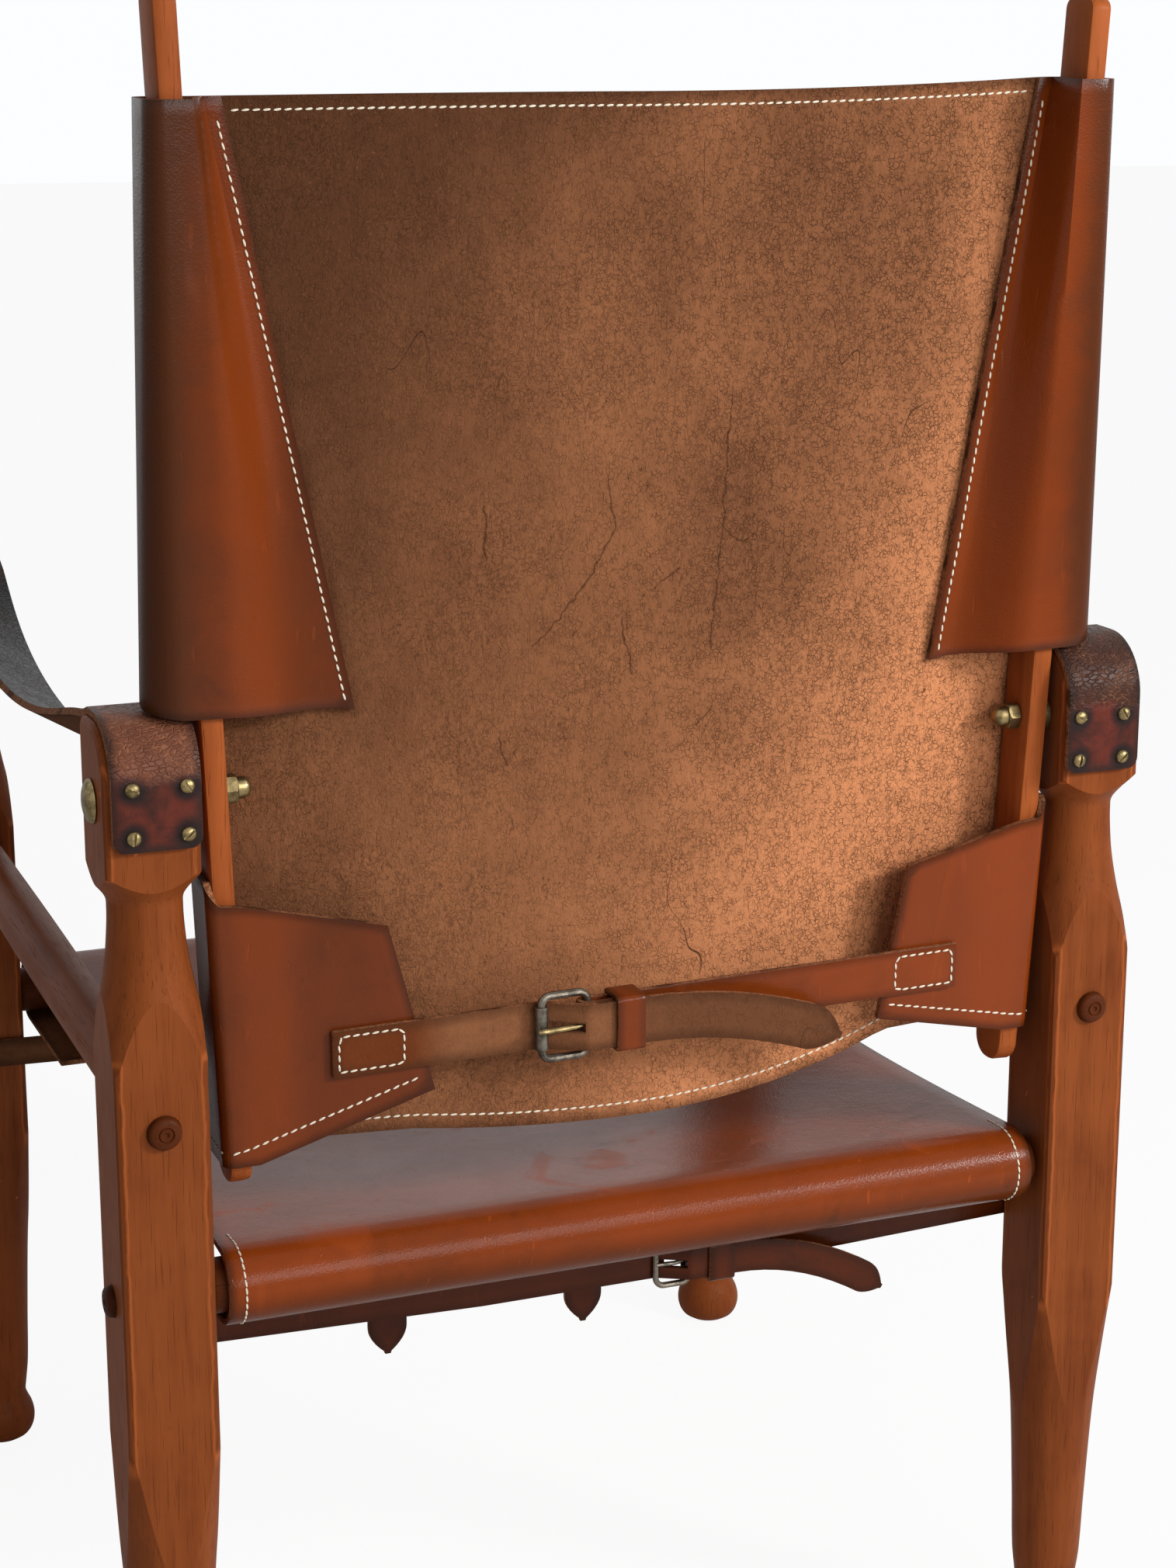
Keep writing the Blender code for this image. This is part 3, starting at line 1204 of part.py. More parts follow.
def build_frame(shop):
    """Legs, rails, arms and pivot hardware."""
    for word_y, side_y in (("front", -1), ("back", 1)):
        for word_x, side_x in (("left", 1), ("right", -1)):
            leg(shop, f"leg_{word_y}_{word_x}", side_x, side_y)
            arm_screws(shop, f"arm_screw_{word_y}_{word_x}", side_x, side_y)
    for word_x, side_x in (("left", 1), ("right", -1)):
        side_rail(shop, f"side_rail_{word_x}", side_x)
        arm_strap(shop, f"arm_strap_{word_x}", side_x)
        pivot_bolt(shop, f"pivot_bolt_{word_x}", side_x)
        dome_nut(shop, f"dome_nut_{word_x}", side_x)
        spacer(shop, f"spacer_washer_{word_x}", side_x)
    seat_rail(shop, "seat_rail_front", -1, SEAT_RAIL_FRONT_Z)
    seat_rail(shop, "seat_rail_back", 1, SEAT_RAIL_BACK_Z)


def build_backrest(shop):
    """Posts, sling and belt under an empty on the pivot axis."""
    pivot = bpy.data.objects.new("backrest_pivot", None)
    place = Matrix.Translation((0, LEG_Y, PIVOT_Z)) @ Matrix.Rotation(-POST_LEAN, 4, "X")
    shop.link(pivot, place)
    shop.parent = pivot
    back_post(shop, "back_post_left", 1)
    back_post(shop, "back_post_right", -1)
    back_sling(shop, "back_sling")
    back_belt(shop)
    shop.parent = None


def build_seat(shop):
    """Seat sling with the straps below it."""
    seat_sling(shop, "seat_sling")
    for number, (place_share, hang_share) in enumerate(SEAT_STRAP_PLACE_SHARES, start=1):
        seat_strap_set(shop, number, SEAT_HALF_WIDTH * place_share, SEAT_STRAP_HANG * hang_share)
    cross_strap_set(shop, "front", -1, SEAT_RAIL_FRONT_Z)
    cross_strap_set(shop, "back", 1, SEAT_RAIL_BACK_Z)


def main():
    """Build the chair."""
    clear_scene()
    shop = Workshop()
    shop.colours = {
        "wood": make_material("wood", (0.42, 0.16, 0.05), 0.45),
        "leather_grain": make_material("leather_grain", (0.30, 0.075, 0.018), 0.35),
        "leather_flesh": make_material("leather_flesh", (0.25, 0.11, 0.055), 0.85),
        "leather_dark": make_material("leather_dark", (0.085, 0.03, 0.018), 0.5),
        "brass": make_material("brass", (0.45, 0.33, 0.14), 0.35, 1.0),
        "buckle_metal": make_material("buckle_metal", (0.22, 0.19, 0.14), 0.38, 1.0),
    }
    build_frame(shop)
    build_seat(shop)
    build_backrest(shop)


main()
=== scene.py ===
"""Campaign chair: a turned wooden frame with buckled leather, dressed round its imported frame."""

import json
import math
from functools import reduce
from itertools import accumulate

import bmesh
import bpy
from bpy.props import FloatProperty, FloatVectorProperty, PointerProperty
from mathutils import Matrix, Vector, noise
from mathutils.bvhtree import BVHTree
from mathutils.kdtree import KDTree


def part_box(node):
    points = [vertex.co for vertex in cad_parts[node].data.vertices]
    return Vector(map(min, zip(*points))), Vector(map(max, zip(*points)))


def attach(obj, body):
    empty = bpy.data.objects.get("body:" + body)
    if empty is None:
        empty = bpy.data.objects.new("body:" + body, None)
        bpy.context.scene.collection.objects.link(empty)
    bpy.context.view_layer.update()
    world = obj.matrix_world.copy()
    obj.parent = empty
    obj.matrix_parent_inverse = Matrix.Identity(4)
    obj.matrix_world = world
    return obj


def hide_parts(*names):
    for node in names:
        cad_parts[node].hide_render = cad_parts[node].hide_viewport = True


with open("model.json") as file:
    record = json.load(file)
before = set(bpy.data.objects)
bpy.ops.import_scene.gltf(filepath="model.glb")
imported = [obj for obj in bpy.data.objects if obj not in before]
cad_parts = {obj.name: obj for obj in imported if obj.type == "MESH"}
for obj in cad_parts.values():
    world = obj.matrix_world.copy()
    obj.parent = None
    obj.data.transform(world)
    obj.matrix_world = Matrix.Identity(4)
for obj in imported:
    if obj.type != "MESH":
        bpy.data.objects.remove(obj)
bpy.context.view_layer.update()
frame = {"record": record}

bl_info = {
    "name": "Campaign Chair",
    "version": (1, 0, 0),
    "blender": (4, 5, 0),
    "location": "View3D > Sidebar > Chair",
    "description": "Builds a knock-down armchair of turned wood and buckled leather",
    "category": "Add Mesh",
}

# Fineness of the meshes
ROUND_STEPS = 48
LEG_STEPS = 72
SMOOTH_ANGLE = math.radians(32)
LEG_SMOOTH_ANGLE = math.radians(12)
NEAR = 1e-5
TINY = 1e-9


def length(name, value, text):
    """A size that the panel shows in length units."""
    return FloatProperty(name=name, description=text, default=value, unit="LENGTH", precision=4)


def turn(name, degrees, text):
    """An angle that the panel shows in degrees."""
    return FloatProperty(name=name, description=text, default=math.radians(degrees), unit="ROTATION")


def colour(name, value, text):
    """A colour that the panel shows as a swatch."""
    return FloatVectorProperty(name=name, description=text, default=value, subtype="COLOR", min=0, max=1)


def low(node):
    """Lowest corner of a CAD node."""
    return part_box(node)[0]


def high(node):
    """Highest corner of a CAD node."""
    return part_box(node)[1]


class LegSizes(bpy.types.PropertyGroup):
    side: length("Side", high("leg_back_left").x - low("leg_back_left").x, "Side of the square blank")
    height: length("Height", high("leg_back_left").z, "Floor to the top of the head")
    spacing_x: length("Width between legs", 0.520, "Between leg centres, side to side")
    spacing_y: length("Depth between legs", 0.480, "Between leg centres, front to back")
    chamfer: length("Chamfer", 0.0028, "Width of the eased corners")
    crown_outer: length("Outer crown", 0.027, "Radius of the head's outer rounding")
    crown_inner: length("Inner crown", 0.006, "Radius of the head's inner rounding")
    head: length("Head", 0.066, "Length of the square head")
    block_above: length("Block above rail", 0.006, "Square block above the front side rail")
    block_below: length("Block below rail", 0.054, "Square block below the back seat rail")
    side_rail_back: length("Side rail, back", 0.200, "Drop from the head to the side rail at the back")
    side_rail_front: length("Side rail, front", 0.180, "Drop from the head to the side rail at the front")
    seat_rail_back: length("Seat rail, back", 0.295, "Drop from the head to the back seat rail")
    seat_rail_front: length("Seat rail, front", 0.283, "Drop from the head to the front seat rail")
    pivot_drop: length("Pivot", 0.038, "Drop from the head to the pivot bolt")


class PostSizes(bpy.types.PropertyGroup):
    thickness: length("Thickness", 0.0115, "Side to side")
    depth: length("Depth", 0.027, "Front to back")
    leg_gap: length("Gap to leg", 0.005, "Between the post and the leg's inner face")
    above: length("Above pivot", 0.374, "Length over the pivot")
    below_left: length("Below pivot, left", 0.204, "Length under the pivot on the left")
    below_right: length("Below pivot, right", 0.196, "Length under the pivot on the right")
    splay: turn("Splay", 2.4, "Spread of the posts")
    lean: turn("Lean", 1.7, "Lean of the back")


class LeatherSizes(bpy.types.PropertyGroup):
    thickness: length("Sling", 0.0035, "Thickness of the back and seat")
    arm_thickness: length("Arm", 0.0038, "Thickness of an arm strap")
    arm_width: length("Arm width", 0.0435, "Width of an arm strap")
    arm_sag: length("Arm sag", 0.0455, "How far an arm hangs between its legs")
    arm_twist: turn("Arm twist", 30, "How far an arm rolls inwards in its middle")
    belt_width: length("Belt width", 0.025, "Width of the back belt")
    stitch_pitch: length("Stitch pitch", 0.0050, "From one stitch to the next")
    thread: length("Thread", 0.00095, "Thickness of the thread")


class Finishes(bpy.types.PropertyGroup):
    wood_light: colour("Wood, light", (0.225, 0.056, 0.013), "Worn orange-brown wood")
    wood_dark: colour("Wood, dark", (0.100, 0.021, 0.005), "Stained grain")
    # The leather colours also paint light and shade: the sling lighter to its right and inside each post,
    # darker to its left, past each post, under the seat's rolls and, in part, along cut edges.
    grain_light: colour("Leather, light", (0.145, 0.025, 0.003), "Polished cognac leather")
    grain_dark: colour("Leather, dark", (0.040, 0.011, 0.003), "Handled leather and burnished edges")
    # The suede colours also paint shade on the panel's left and top and light on its right.
    flesh_light: colour("Suede, light", (0.310, 0.121, 0.052), "Flesh side in the light")
    flesh_dark: colour("Suede, dark", (0.115, 0.043, 0.019), "Flesh side with dirt")
    arm_leather: colour("Arm leather", (0.088, 0.030, 0.016), "Crazed arm leather")
    brass: colour("Brass", (0.25, 0.185, 0.085), "Aged brass")
    iron: colour("Buckle", (0.17, 0.145, 0.115), "Antiqued buckle metal")
    thread: colour("Thread", (0.76, 0.68, 0.54), "Waxed linen thread")


def sizes():
    """The chair's property groups, short names for the operators."""
    scene = bpy.context.scene
    return scene.chair_legs, scene.chair_posts, scene.chair_leather


# Shader graphs


class Wire:
    """A node's output, with the usual sums between outputs and numbers."""

    def __init__(self, graph, output):
        self.graph = graph
        self.output = output

    def step(self, start, end):
        """Rises smoothly from 0 at start to 1 at end."""
        settings = {"interpolation_type": "SMOOTHSTEP", "clamp": True}
        inputs = {"Value": self, "From Min": start, "From Max": end}
        return self.graph.node("ShaderNodeMapRange", settings, inputs)


def math_method(operation, swapped=False):
    """A method of Wire that works out one sum in a Math node."""

    def method(self, *others):
        terms = (*others, self) if swapped else (self, *others)
        return self.graph.node("ShaderNodeMath", {"operation": operation}, dict(enumerate(terms)))

    return method


for word, operation in (
        ("__add__", "ADD"), ("__sub__", "SUBTRACT"), ("__mul__", "MULTIPLY"), ("__truediv__", "DIVIDE"),
        ("__pow__", "POWER"), ("__abs__", "ABSOLUTE"), ("at_most", "MINIMUM"), ("at_least", "MAXIMUM")):
    setattr(Wire, word, math_method(operation))
for word, operation in (("__radd__", "ADD"), ("__rsub__", "SUBTRACT"), ("__rmul__", "MULTIPLY")):
    setattr(Wire, word, math_method(operation, swapped=True))


class Graph:
    """One material's node tree, with the base colour as it has been laid on so far."""

    def __init__(self, name, roughness=0.5, metallic=0.0, gloss=0.2):
        self.material = bpy.data.materials.new(name)
        self.material.use_nodes = True
        self.tree = self.material.node_tree
        self.shader = self.tree.nodes["Principled BSDF"]
        uniform = {"Roughness": roughness, "Metallic": metallic, "Specular IOR Level": gloss}
        for socket, value in uniform.items():
            self.shader.inputs[socket].default_value = value
        self.place = self.node("ShaderNodeTexCoord", output="Object")
        self.colours = bpy.context.scene.chair_finishes
        self.base = None

    def node(self, kind, settings=None, inputs=None, output=0):
        """Add a node, its settings first, then the values or links of its sockets."""
        made = self.tree.nodes.new(kind)
        for key, value in (settings or {}).items():
            setattr(made, key, value)
        for key, value in (inputs or {}).items():
            self.feed(made.inputs[key], value)
        return Wire(self, made.outputs[output])

    def feed(self, socket, value):
        """Link an output to a socket, or set the socket's value."""
        if isinstance(value, Wire):
            self.tree.links.new(value.output, socket)
        elif hasattr(value, "__len__") and len(value) == 3 and socket.type == "RGBA":
            socket.default_value = (*value, 1)
        else:
            socket.default_value = value

    def drawn_out(self, axis, share, source=None):
        """Coordinates that draw a pattern out along one axis."""
        scale = [share if place == axis else 1.0 for place in range(3)]
        return self.node("ShaderNodeMapping", None, {"Vector": source or self.place, "Scale": scale})

    def noise(self, scale, detail=3.0, rough=0.5, bend=0.0, at=None):
        """Cloudy pattern from 0 to 1."""
        inputs = {"Vector": at or self.place, "Scale": scale, "Detail": detail, "Roughness": rough}
        return self.node("ShaderNodeTexNoise", None, {**inputs, "Distortion": bend})

    def cells(self, scale, feature="F1", at=None):
        """Pattern of cells: the distance to their middles or to their edges."""
        inputs = {"Vector": at or self.place, "Scale": scale}
        return self.node("ShaderNodeTexVoronoi", {"feature": feature}, inputs)

    def shifted(self, amount, scale):
        """Coordinates pushed about by noise, so that cells lose their straight sides."""
        push = self.node("ShaderNodeTexNoise", None, {"Vector": self.place, "Scale": scale}, output=1)
        inputs = {0: push, 1: (amount, amount, amount), 2: self.place}
        return self.node("ShaderNodeVectorMath", {"operation": "MULTIPLY_ADD"}, inputs)

    def blend(self, share, first, second):
        """A colour between two."""
        return self.node("ShaderNodeMix", {"data_type": "RGBA"}, {0: share, 6: first, 7: second}, output=2)

    def lay(self, share, colour_value, factor=1):
        """Lay a colour, made darker or lighter by a factor, over the base colour in some share."""
        self.base = self.blend(share, self.base, scaled(colour_value, factor))

    def part(self, axis):
        """One of the three coordinates."""
        return self.node("ShaderNodeSeparateXYZ", None, {0: self.place}, output=axis)

    def from_line(self, x, z, start, end):
        """Distance to a straight line between two (x, z) points."""
        run_x, run_z = end[0] - start[0], end[1] - start[1]
        off_x, off_z = x - start[0], z - start[1]
        share = (off_x * run_x + off_z * run_z) / (run_x ** 2 + run_z ** 2)
        share = share.at_least(0).at_most(1)
        gap_x, gap_z = off_x - share * run_x, off_z - share * run_z
        return (gap_x * gap_x + gap_z * gap_z) ** 0.5

    def rim(self):
        """Distance to the cut edge, which the sheets carry."""
        return self.node("ShaderNodeAttribute", {"attribute_name": "rim"}, output="Fac")

    def finish(self, roughness, height, depth):
        """Link what varies to the shader."""
        normal = self.node("ShaderNodeBump", None, {"Strength": 1.0, "Distance": depth, "Height": height})
        varying = {"Base Color": self.base, "Roughness": roughness, "Normal": normal}
        for socket, value in varying.items():
            if value is not None:
                self.feed(self.shader.inputs[socket], value)
        return self.material


def scaled(colour_value, factor):
    """A colour made darker or lighter."""
    return tuple(min(channel * factor, 1) for channel in colour_value)


# Where wear, painted highlight and darkening start and end, in metres from the edge, rim or height that each
# name gives
CORNER_RUB_AND_SHINE = (0.0022, 0.0006)
CORNER_SOIL = (0.0008, 0.0004)
CORNER_WANDER = 0.003
BUTTON_FADE = 0.0004
DARK_BELOW_REACH = 0.1


def wood_finish(name, along, tone=1.0, corners=False, button_from=None, dark_below=None):
    """Stained hardwood: faint grain along one axis, nicks, worn corners with painted highlight along them,
    darker below a height, and dark buttons past a distance.
    """
    graph = Graph(name, gloss=0.06)
    light = scaled(graph.colours.wood_light, tone)
    dark = scaled(graph.colours.wood_dark, tone)
    streaks = graph.drawn_out(along, 0.06)
    grain = graph.noise(150, 5, 0.62, 0.6, at=streaks)
    bands = graph.noise(26, 4, 0.55, 1.2, at=streaks)
    blotches = graph.noise(14, 4, 0.6, 0.4)
    share = (grain * 0.45 + bands * 0.45 + blotches * 0.5).step(0.52, 1.12)
    graph.base = graph.blend(share, light, dark)
    pores = graph.noise(1100, 2, at=graph.drawn_out(along, 0.03)).step(0.58, 0.72)
    graph.lay(pores * 0.3, dark, 0.6)
    stains = graph.noise(34, 3, 0.6, 0.4).step(0.67, 0.8)
    graph.lay(stains * 0.4, dark, 0.4)
    nicks = graph.noise(95, 2, 0.5, 0.3).step(0.755, 0.785)
    graph.lay(nicks * 0.6, light, 2.2)
    if corners:
        legs = bpy.context.scene.chair_legs
        off_x = abs(abs(graph.part(0)) - legs.spacing_x / 2)
        off_y = abs(abs(graph.part(1)) - legs.spacing_y / 2)
        reach = off_x + off_y + (graph.noise(60, 3) - 0.5) * CORNER_WANDER
        flat = legs.side - legs.chamfer
        # Lighter arrises: worn corners, partly painted highlight along the edges.
        graph.lay(reach.step(flat - CORNER_RUB_AND_SHINE[0], flat - CORNER_RUB_AND_SHINE[1]) * 0.7, light, 1.6)
        graph.lay(reach.step(flat - CORNER_SOIL[0], flat + CORNER_SOIL[1]) * 0.65, dark, 0.7)
    if dark_below:
        # Darker towards the bottom, below a height.
        darker_share = (dark_below - graph.part(2) + (blotches - 0.5) * DARK_BELOW_REACH).step(0, DARK_BELOW_REACH)
        graph.lay(darker_share * 0.6, dark)
    if button_from:
        button = abs(graph.part(along)).step(button_from, button_from + BUTTON_FADE)
        graph.lay(button * 0.8, dark, 0.55)
    height = grain * 0.25 - pores * 0.5 + bands * 0.2 - nicks * 0.6
    return graph.finish(0.34 + blotches * 0.18 + pores * 0.15, height, 0.0003)


# Painted shade under a seat roll, painted light and shade on the sling round the posts, and a dark band along
# cut edges that is partly painted shadow
ROLL_SHADE = 0.016
ROLL_WANDER = 0.01
LIT_AND_SHADED_SIDES = (-0.26, 0.26)
LIT_BAND_BEFORE_POST = ((-0.050, -0.024), (-0.014, 0.004))
SHADE_PAST_POST = (0.001, 0.021)
POST_WANDER = 0.014
RIM_BURN_AND_SHADE = (0.0012, 0.0062)
RIM_WANDER = 0.003


def grain_finish(name, tone=1.0, rim_dark=0.9, gloss=0.14, rough=0.17, posts=False, dark_below=None):
    """Polished leather: cloudy cognac, rub marks with some painted sheen, fine pores, dark edges that are
    partly burnish and partly painted shadow, and painted light and shade under a roll or round the posts.
    """
    graph = Graph(name, gloss=gloss)
    light = scaled(graph.colours.grain_light, tone)
    dark = scaled(graph.colours.grain_dark, tone)
    clouds = graph.noise(7, 4, 0.6, 0.4)
    drift = graph.noise(28, 4, 0.62, 0.8)
    mottle = graph.noise(130, 3, 0.6)
    share = (clouds * 0.95 + drift * 0.5 + mottle * 0.15).step(0.62, 1.12)
    graph.base = graph.blend(share, light, tuple(a * 0.5 + b * 0.5 for a, b in zip(light, dark)))
    soil_and_painted_shading = graph.noise(19, 4, 0.65, 0.5).step(0.58, 0.78)
    graph.lay(soil_and_painted_shading * 0.65, dark)
    # Lighter vertical streaks: rub marks, partly painted sheen.
    rubs_and_sheen = graph.noise(16, 3, 0.5, 1.5, at=graph.drawn_out(2, 0.3)).step(0.6, 0.72)
    graph.lay(rubs_and_sheen * 0.4, light, 1.6)
    scratches = graph.noise(210, 2, 0.5, 0.4, at=graph.drawn_out(2, 0.2)).step(0.69, 0.74)
    graph.lay(scratches * 0.35, light, 1.9)
    if dark_below:
        under = dark_below - graph.part(2) + (clouds - 0.5) * ROLL_WANDER
        graph.lay(under.step(0, ROLL_SHADE) * 0.6, dark)
    if posts:
        # Painted light and shade: darker towards the chair's left, lighter towards its right, as if lit from
        # the right.
        darker_share = (graph.part(0) + (clouds - 0.5) * 0.2).step(*LIT_AND_SHADED_SIDES)
        graph.lay(darker_share * 0.4, dark, 1.4)
        graph.lay((1 - darker_share) * 0.45, light, 1.5)
        # Painted highlight: a lighter band just inside each post. Painted shade: darker where the leather
        # turns round the post's outer side.
        past_post = abs(graph.part(0)) + (drift - 0.5) * POST_WANDER - pivot_x()
        rise, fall = LIT_BAND_BEFORE_POST
        graph.lay(past_post.step(*rise) * (1 - past_post.step(*fall)) * 0.4, light, 1.6)
        graph.lay(past_post.step(*SHADE_PAST_POST) * 0.85, dark, 1.4)
    # Dark band along the cut edges: partly burnished edge, partly painted shadow of the groove between the
    # stitches and the edge.
    edge = graph.rim() + (drift - 0.5) * RIM_WANDER
    graph.lay((1 - edge.step(*RIM_BURN_AND_SHADE)) * rim_dark, dark, 0.55)
    pores = graph.cells(900, at=graph.shifted(0.0006, 500))
    roughness = rough + drift * 0.14 + soil_and_painted_shading * 0.08 + rubs_and_sheen * 0.12
    height = pores * 0.22 + mottle * 0.4 + drift * 0.6 - scratches * 0.3
    return graph.finish(roughness, height, 0.0003)


# Cracks of the panel, as (x, z) points in the chair
PANEL_CRACKS = (
    ((0.0185, 0.697), (0.0139, 0.6705), (0.0274, 0.6457), (0.0576, 0.6129)),
    ((-0.0493, 0.7351), (-0.0448, 0.659), (-0.0388, 0.6057)),
    ((0.0111, 0.6255), (0.0047, 0.5952)),
    ((-0.0395, 0.5753), (-0.0319, 0.5652)),
    ((0.0833, 0.685), (0.0825, 0.6591)),
    ((-0.0057, 0.6375), (-0.0214, 0.6485)),
    ((0.0769, 0.5677), (0.0719, 0.5531)),
)
CRACK_WIDTH = (0.0001, 0.0008)
SPLIT_WIDTH = (0.0001, 0.0007)
PANEL_MIDDLE = 0.62
TIP_SHADE = (-0.02, 0.05)
TIP_FROM = 0.03
SEWN_END = (0.105, 0.135)
FLESH_RIM = (0.0008, 0.0075)


def flesh_finish(name, tone=1.0, nap=1.0, soil_and_painted_shading=0.0, tip_dark=0.0):
    """Flesh side: matt nap of fine dark flecks, soft wrinkles, hairline splits and stains; on the panel,
    painted shade to the left and top and painted light to the right.
    """
    graph = Graph(name, gloss=0.06)
    light = scaled(graph.colours.flesh_light, tone)
    dark = scaled(graph.colours.flesh_dark, tone)
    clouds = graph.noise(5, 4, 0.6, 0.3)
    tall = graph.drawn_out(2, 0.35)
    wrinkles = graph.noise(17, 4, 0.6, 0.6, at=tall)
    mottle = graph.noise(55, 5, 0.7)
    fuzz = graph.noise(620, 3, 0.65, 0.5)
    flecks = graph.noise(620, 4, 0.75, 1.2, at=tall)
    share = clouds * 0.75 + wrinkles * 0.45 + mottle * 0.4 + fuzz * 0.25
    graph.base = graph.blend(share.step(0.55, 1.5), light, dark)
    shaded = graph.part(0) * 1.9 + (graph.part(2) - PANEL_MIDDLE) * 0.9 + (clouds - 0.5) * 0.5
    # Darker to the left and towards the top: partly dirt, partly painted shade.
    graph.lay(shaded.step(-0.05, 0.6) * soil_and_painted_shading, dark, 0.5)
    # Lighter to the right: painted light, as if the panel were lit from that side.
    graph.lay((0 - shaded).step(0.0, 0.42) * soil_and_painted_shading * 0.9, light, 2.2)
    graph.lay((TIP_FROM - graph.part(0)).step(*TIP_SHADE) * tip_dark, dark)
    graph.lay(graph.part(0).step(*SEWN_END) * tip_dark, graph.colours.grain_light, 0.75)
    dense = graph.noise(21, 3, 0.6).step(0.38, 0.62)
    graph.lay(flecks.step(0.56, 0.66) * (0.46 + dense * 0.22) * nap, dark, 0.55)
    bright = graph.noise(800, 2, 0.5).step(0.62, 0.72)
    graph.lay(bright * 0.14 * nap, light, 1.35)
    crazing = abs(graph.noise(150, 3, 0.6, 1.4) - 0.5)
    crazing = (1 - crazing.step(0.004, 0.022)) * graph.noise(18, 3).step(0.36, 0.62)
    graph.lay(crazing * 0.32 * nap, dark, 0.5)
    network = 1 - graph.cells(400, "DISTANCE_TO_EDGE", graph.shifted(0.005, 170)).step(0.0, 0.11)
    to_right = (0.02 - graph.part(0)).step(-0.1, 0.2)
    network = network * graph.noise(240, 2).step(0.36, 0.62) * (to_right * 0.6 + 0.4)
    graph.lay(network * 0.34 * nap, dark, 0.6)
    if soil_and_painted_shading:
        wobble = (graph.noise(130, 2) - 0.5) * 0.006
        spot = graph.part(0) + wobble, graph.part(2) + wobble * 0.5
        lines = [ends for line in PANEL_CRACKS for ends in zip(line, line[1:])]
        nearest = reduce(Wire.at_most, [graph.from_line(*spot, *ends) for ends in lines])
        graph.lay((1 - nearest.step(*CRACK_WIDTH)) * 0.62, dark, 0.3)
    hairlines = abs(graph.noise(8.5, 3, 0.55, 0.7, at=tall) - 0.53)
    splits = (1 - hairlines.step(*SPLIT_WIDTH)) * graph.noise(13, 2).step(0.58, 0.66)
    graph.lay(splits * 0.6 * nap, dark, 0.3)
    smudges = graph.noise(11, 4, 0.7, 0.5).step(0.63, 0.85)
    graph.lay(smudges * 0.3, dark, 0.6)
    edge = graph.rim() + (mottle - 0.5) * 0.008
    graph.lay((1 - edge.step(*FLESH_RIM)) * 0.65, dark, 0.55)
    height = fuzz * 0.35 + flecks * -0.45 + wrinkles * 1.6 + mottle * 0.8
    height = height - splits * 0.8 - crazing * 0.2 - network * 0.5
    return graph.finish(0.84 + mottle * 0.1, height, 0.0013 * nap)


def edge_finish(name):
    """Cut edge of the leather: bright fibres, burnished dark in places."""
    graph = Graph(name, 0.8, gloss=0.1)
    colours = graph.colours
    fibres = graph.noise(700, 3, 0.7)
    patches = graph.noise(50, 3)
    graph.base = graph.blend(fibres.step(0.35, 0.65), scaled(colours.flesh_light, 1.05), colours.flesh_dark)
    graph.lay(patches.step(0.5, 0.66) * 0.8, colours.grain_dark, 0.8)
    return graph.finish(0.7 + fibres * 0.2, fibres, 0.0006)


# How much lower the right arm's end lies, and the square of the screws on an arm strap
ARM_END_STEP = 0.008
SCREWS_DROP = 0.03955
SCREW_PITCH_X = 0.0265
SCREW_PITCH_Z = 0.0235


ARM_INSET = 0.003
HEAD_FADE = (-0.022, 0.004)
PATCH_FADE = (0.012, 0.021)
SCREW_HALO = (0.0045, 0.0100)
ARM_RIM = (0.0008, 0.0062)
ARM_FRAY = (0.0004, 0.0013)
# Greys of painted sheen on the arm straps between the heads
PAINTED_SHEEN_GREYS = ((0.062, 0.060, 0.058), (0.024, 0.022, 0.021))
WINE = ((0.105, 0.016, 0.008), (0.022, 0.006, 0.004))
CRAZE = (0.34, 0.130, 0.060)
SOOT = (0.008, 0.005, 0.005)
GRIME = (0.012, 0.007, 0.006)
FRAYED = (0.34, 0.150, 0.080)


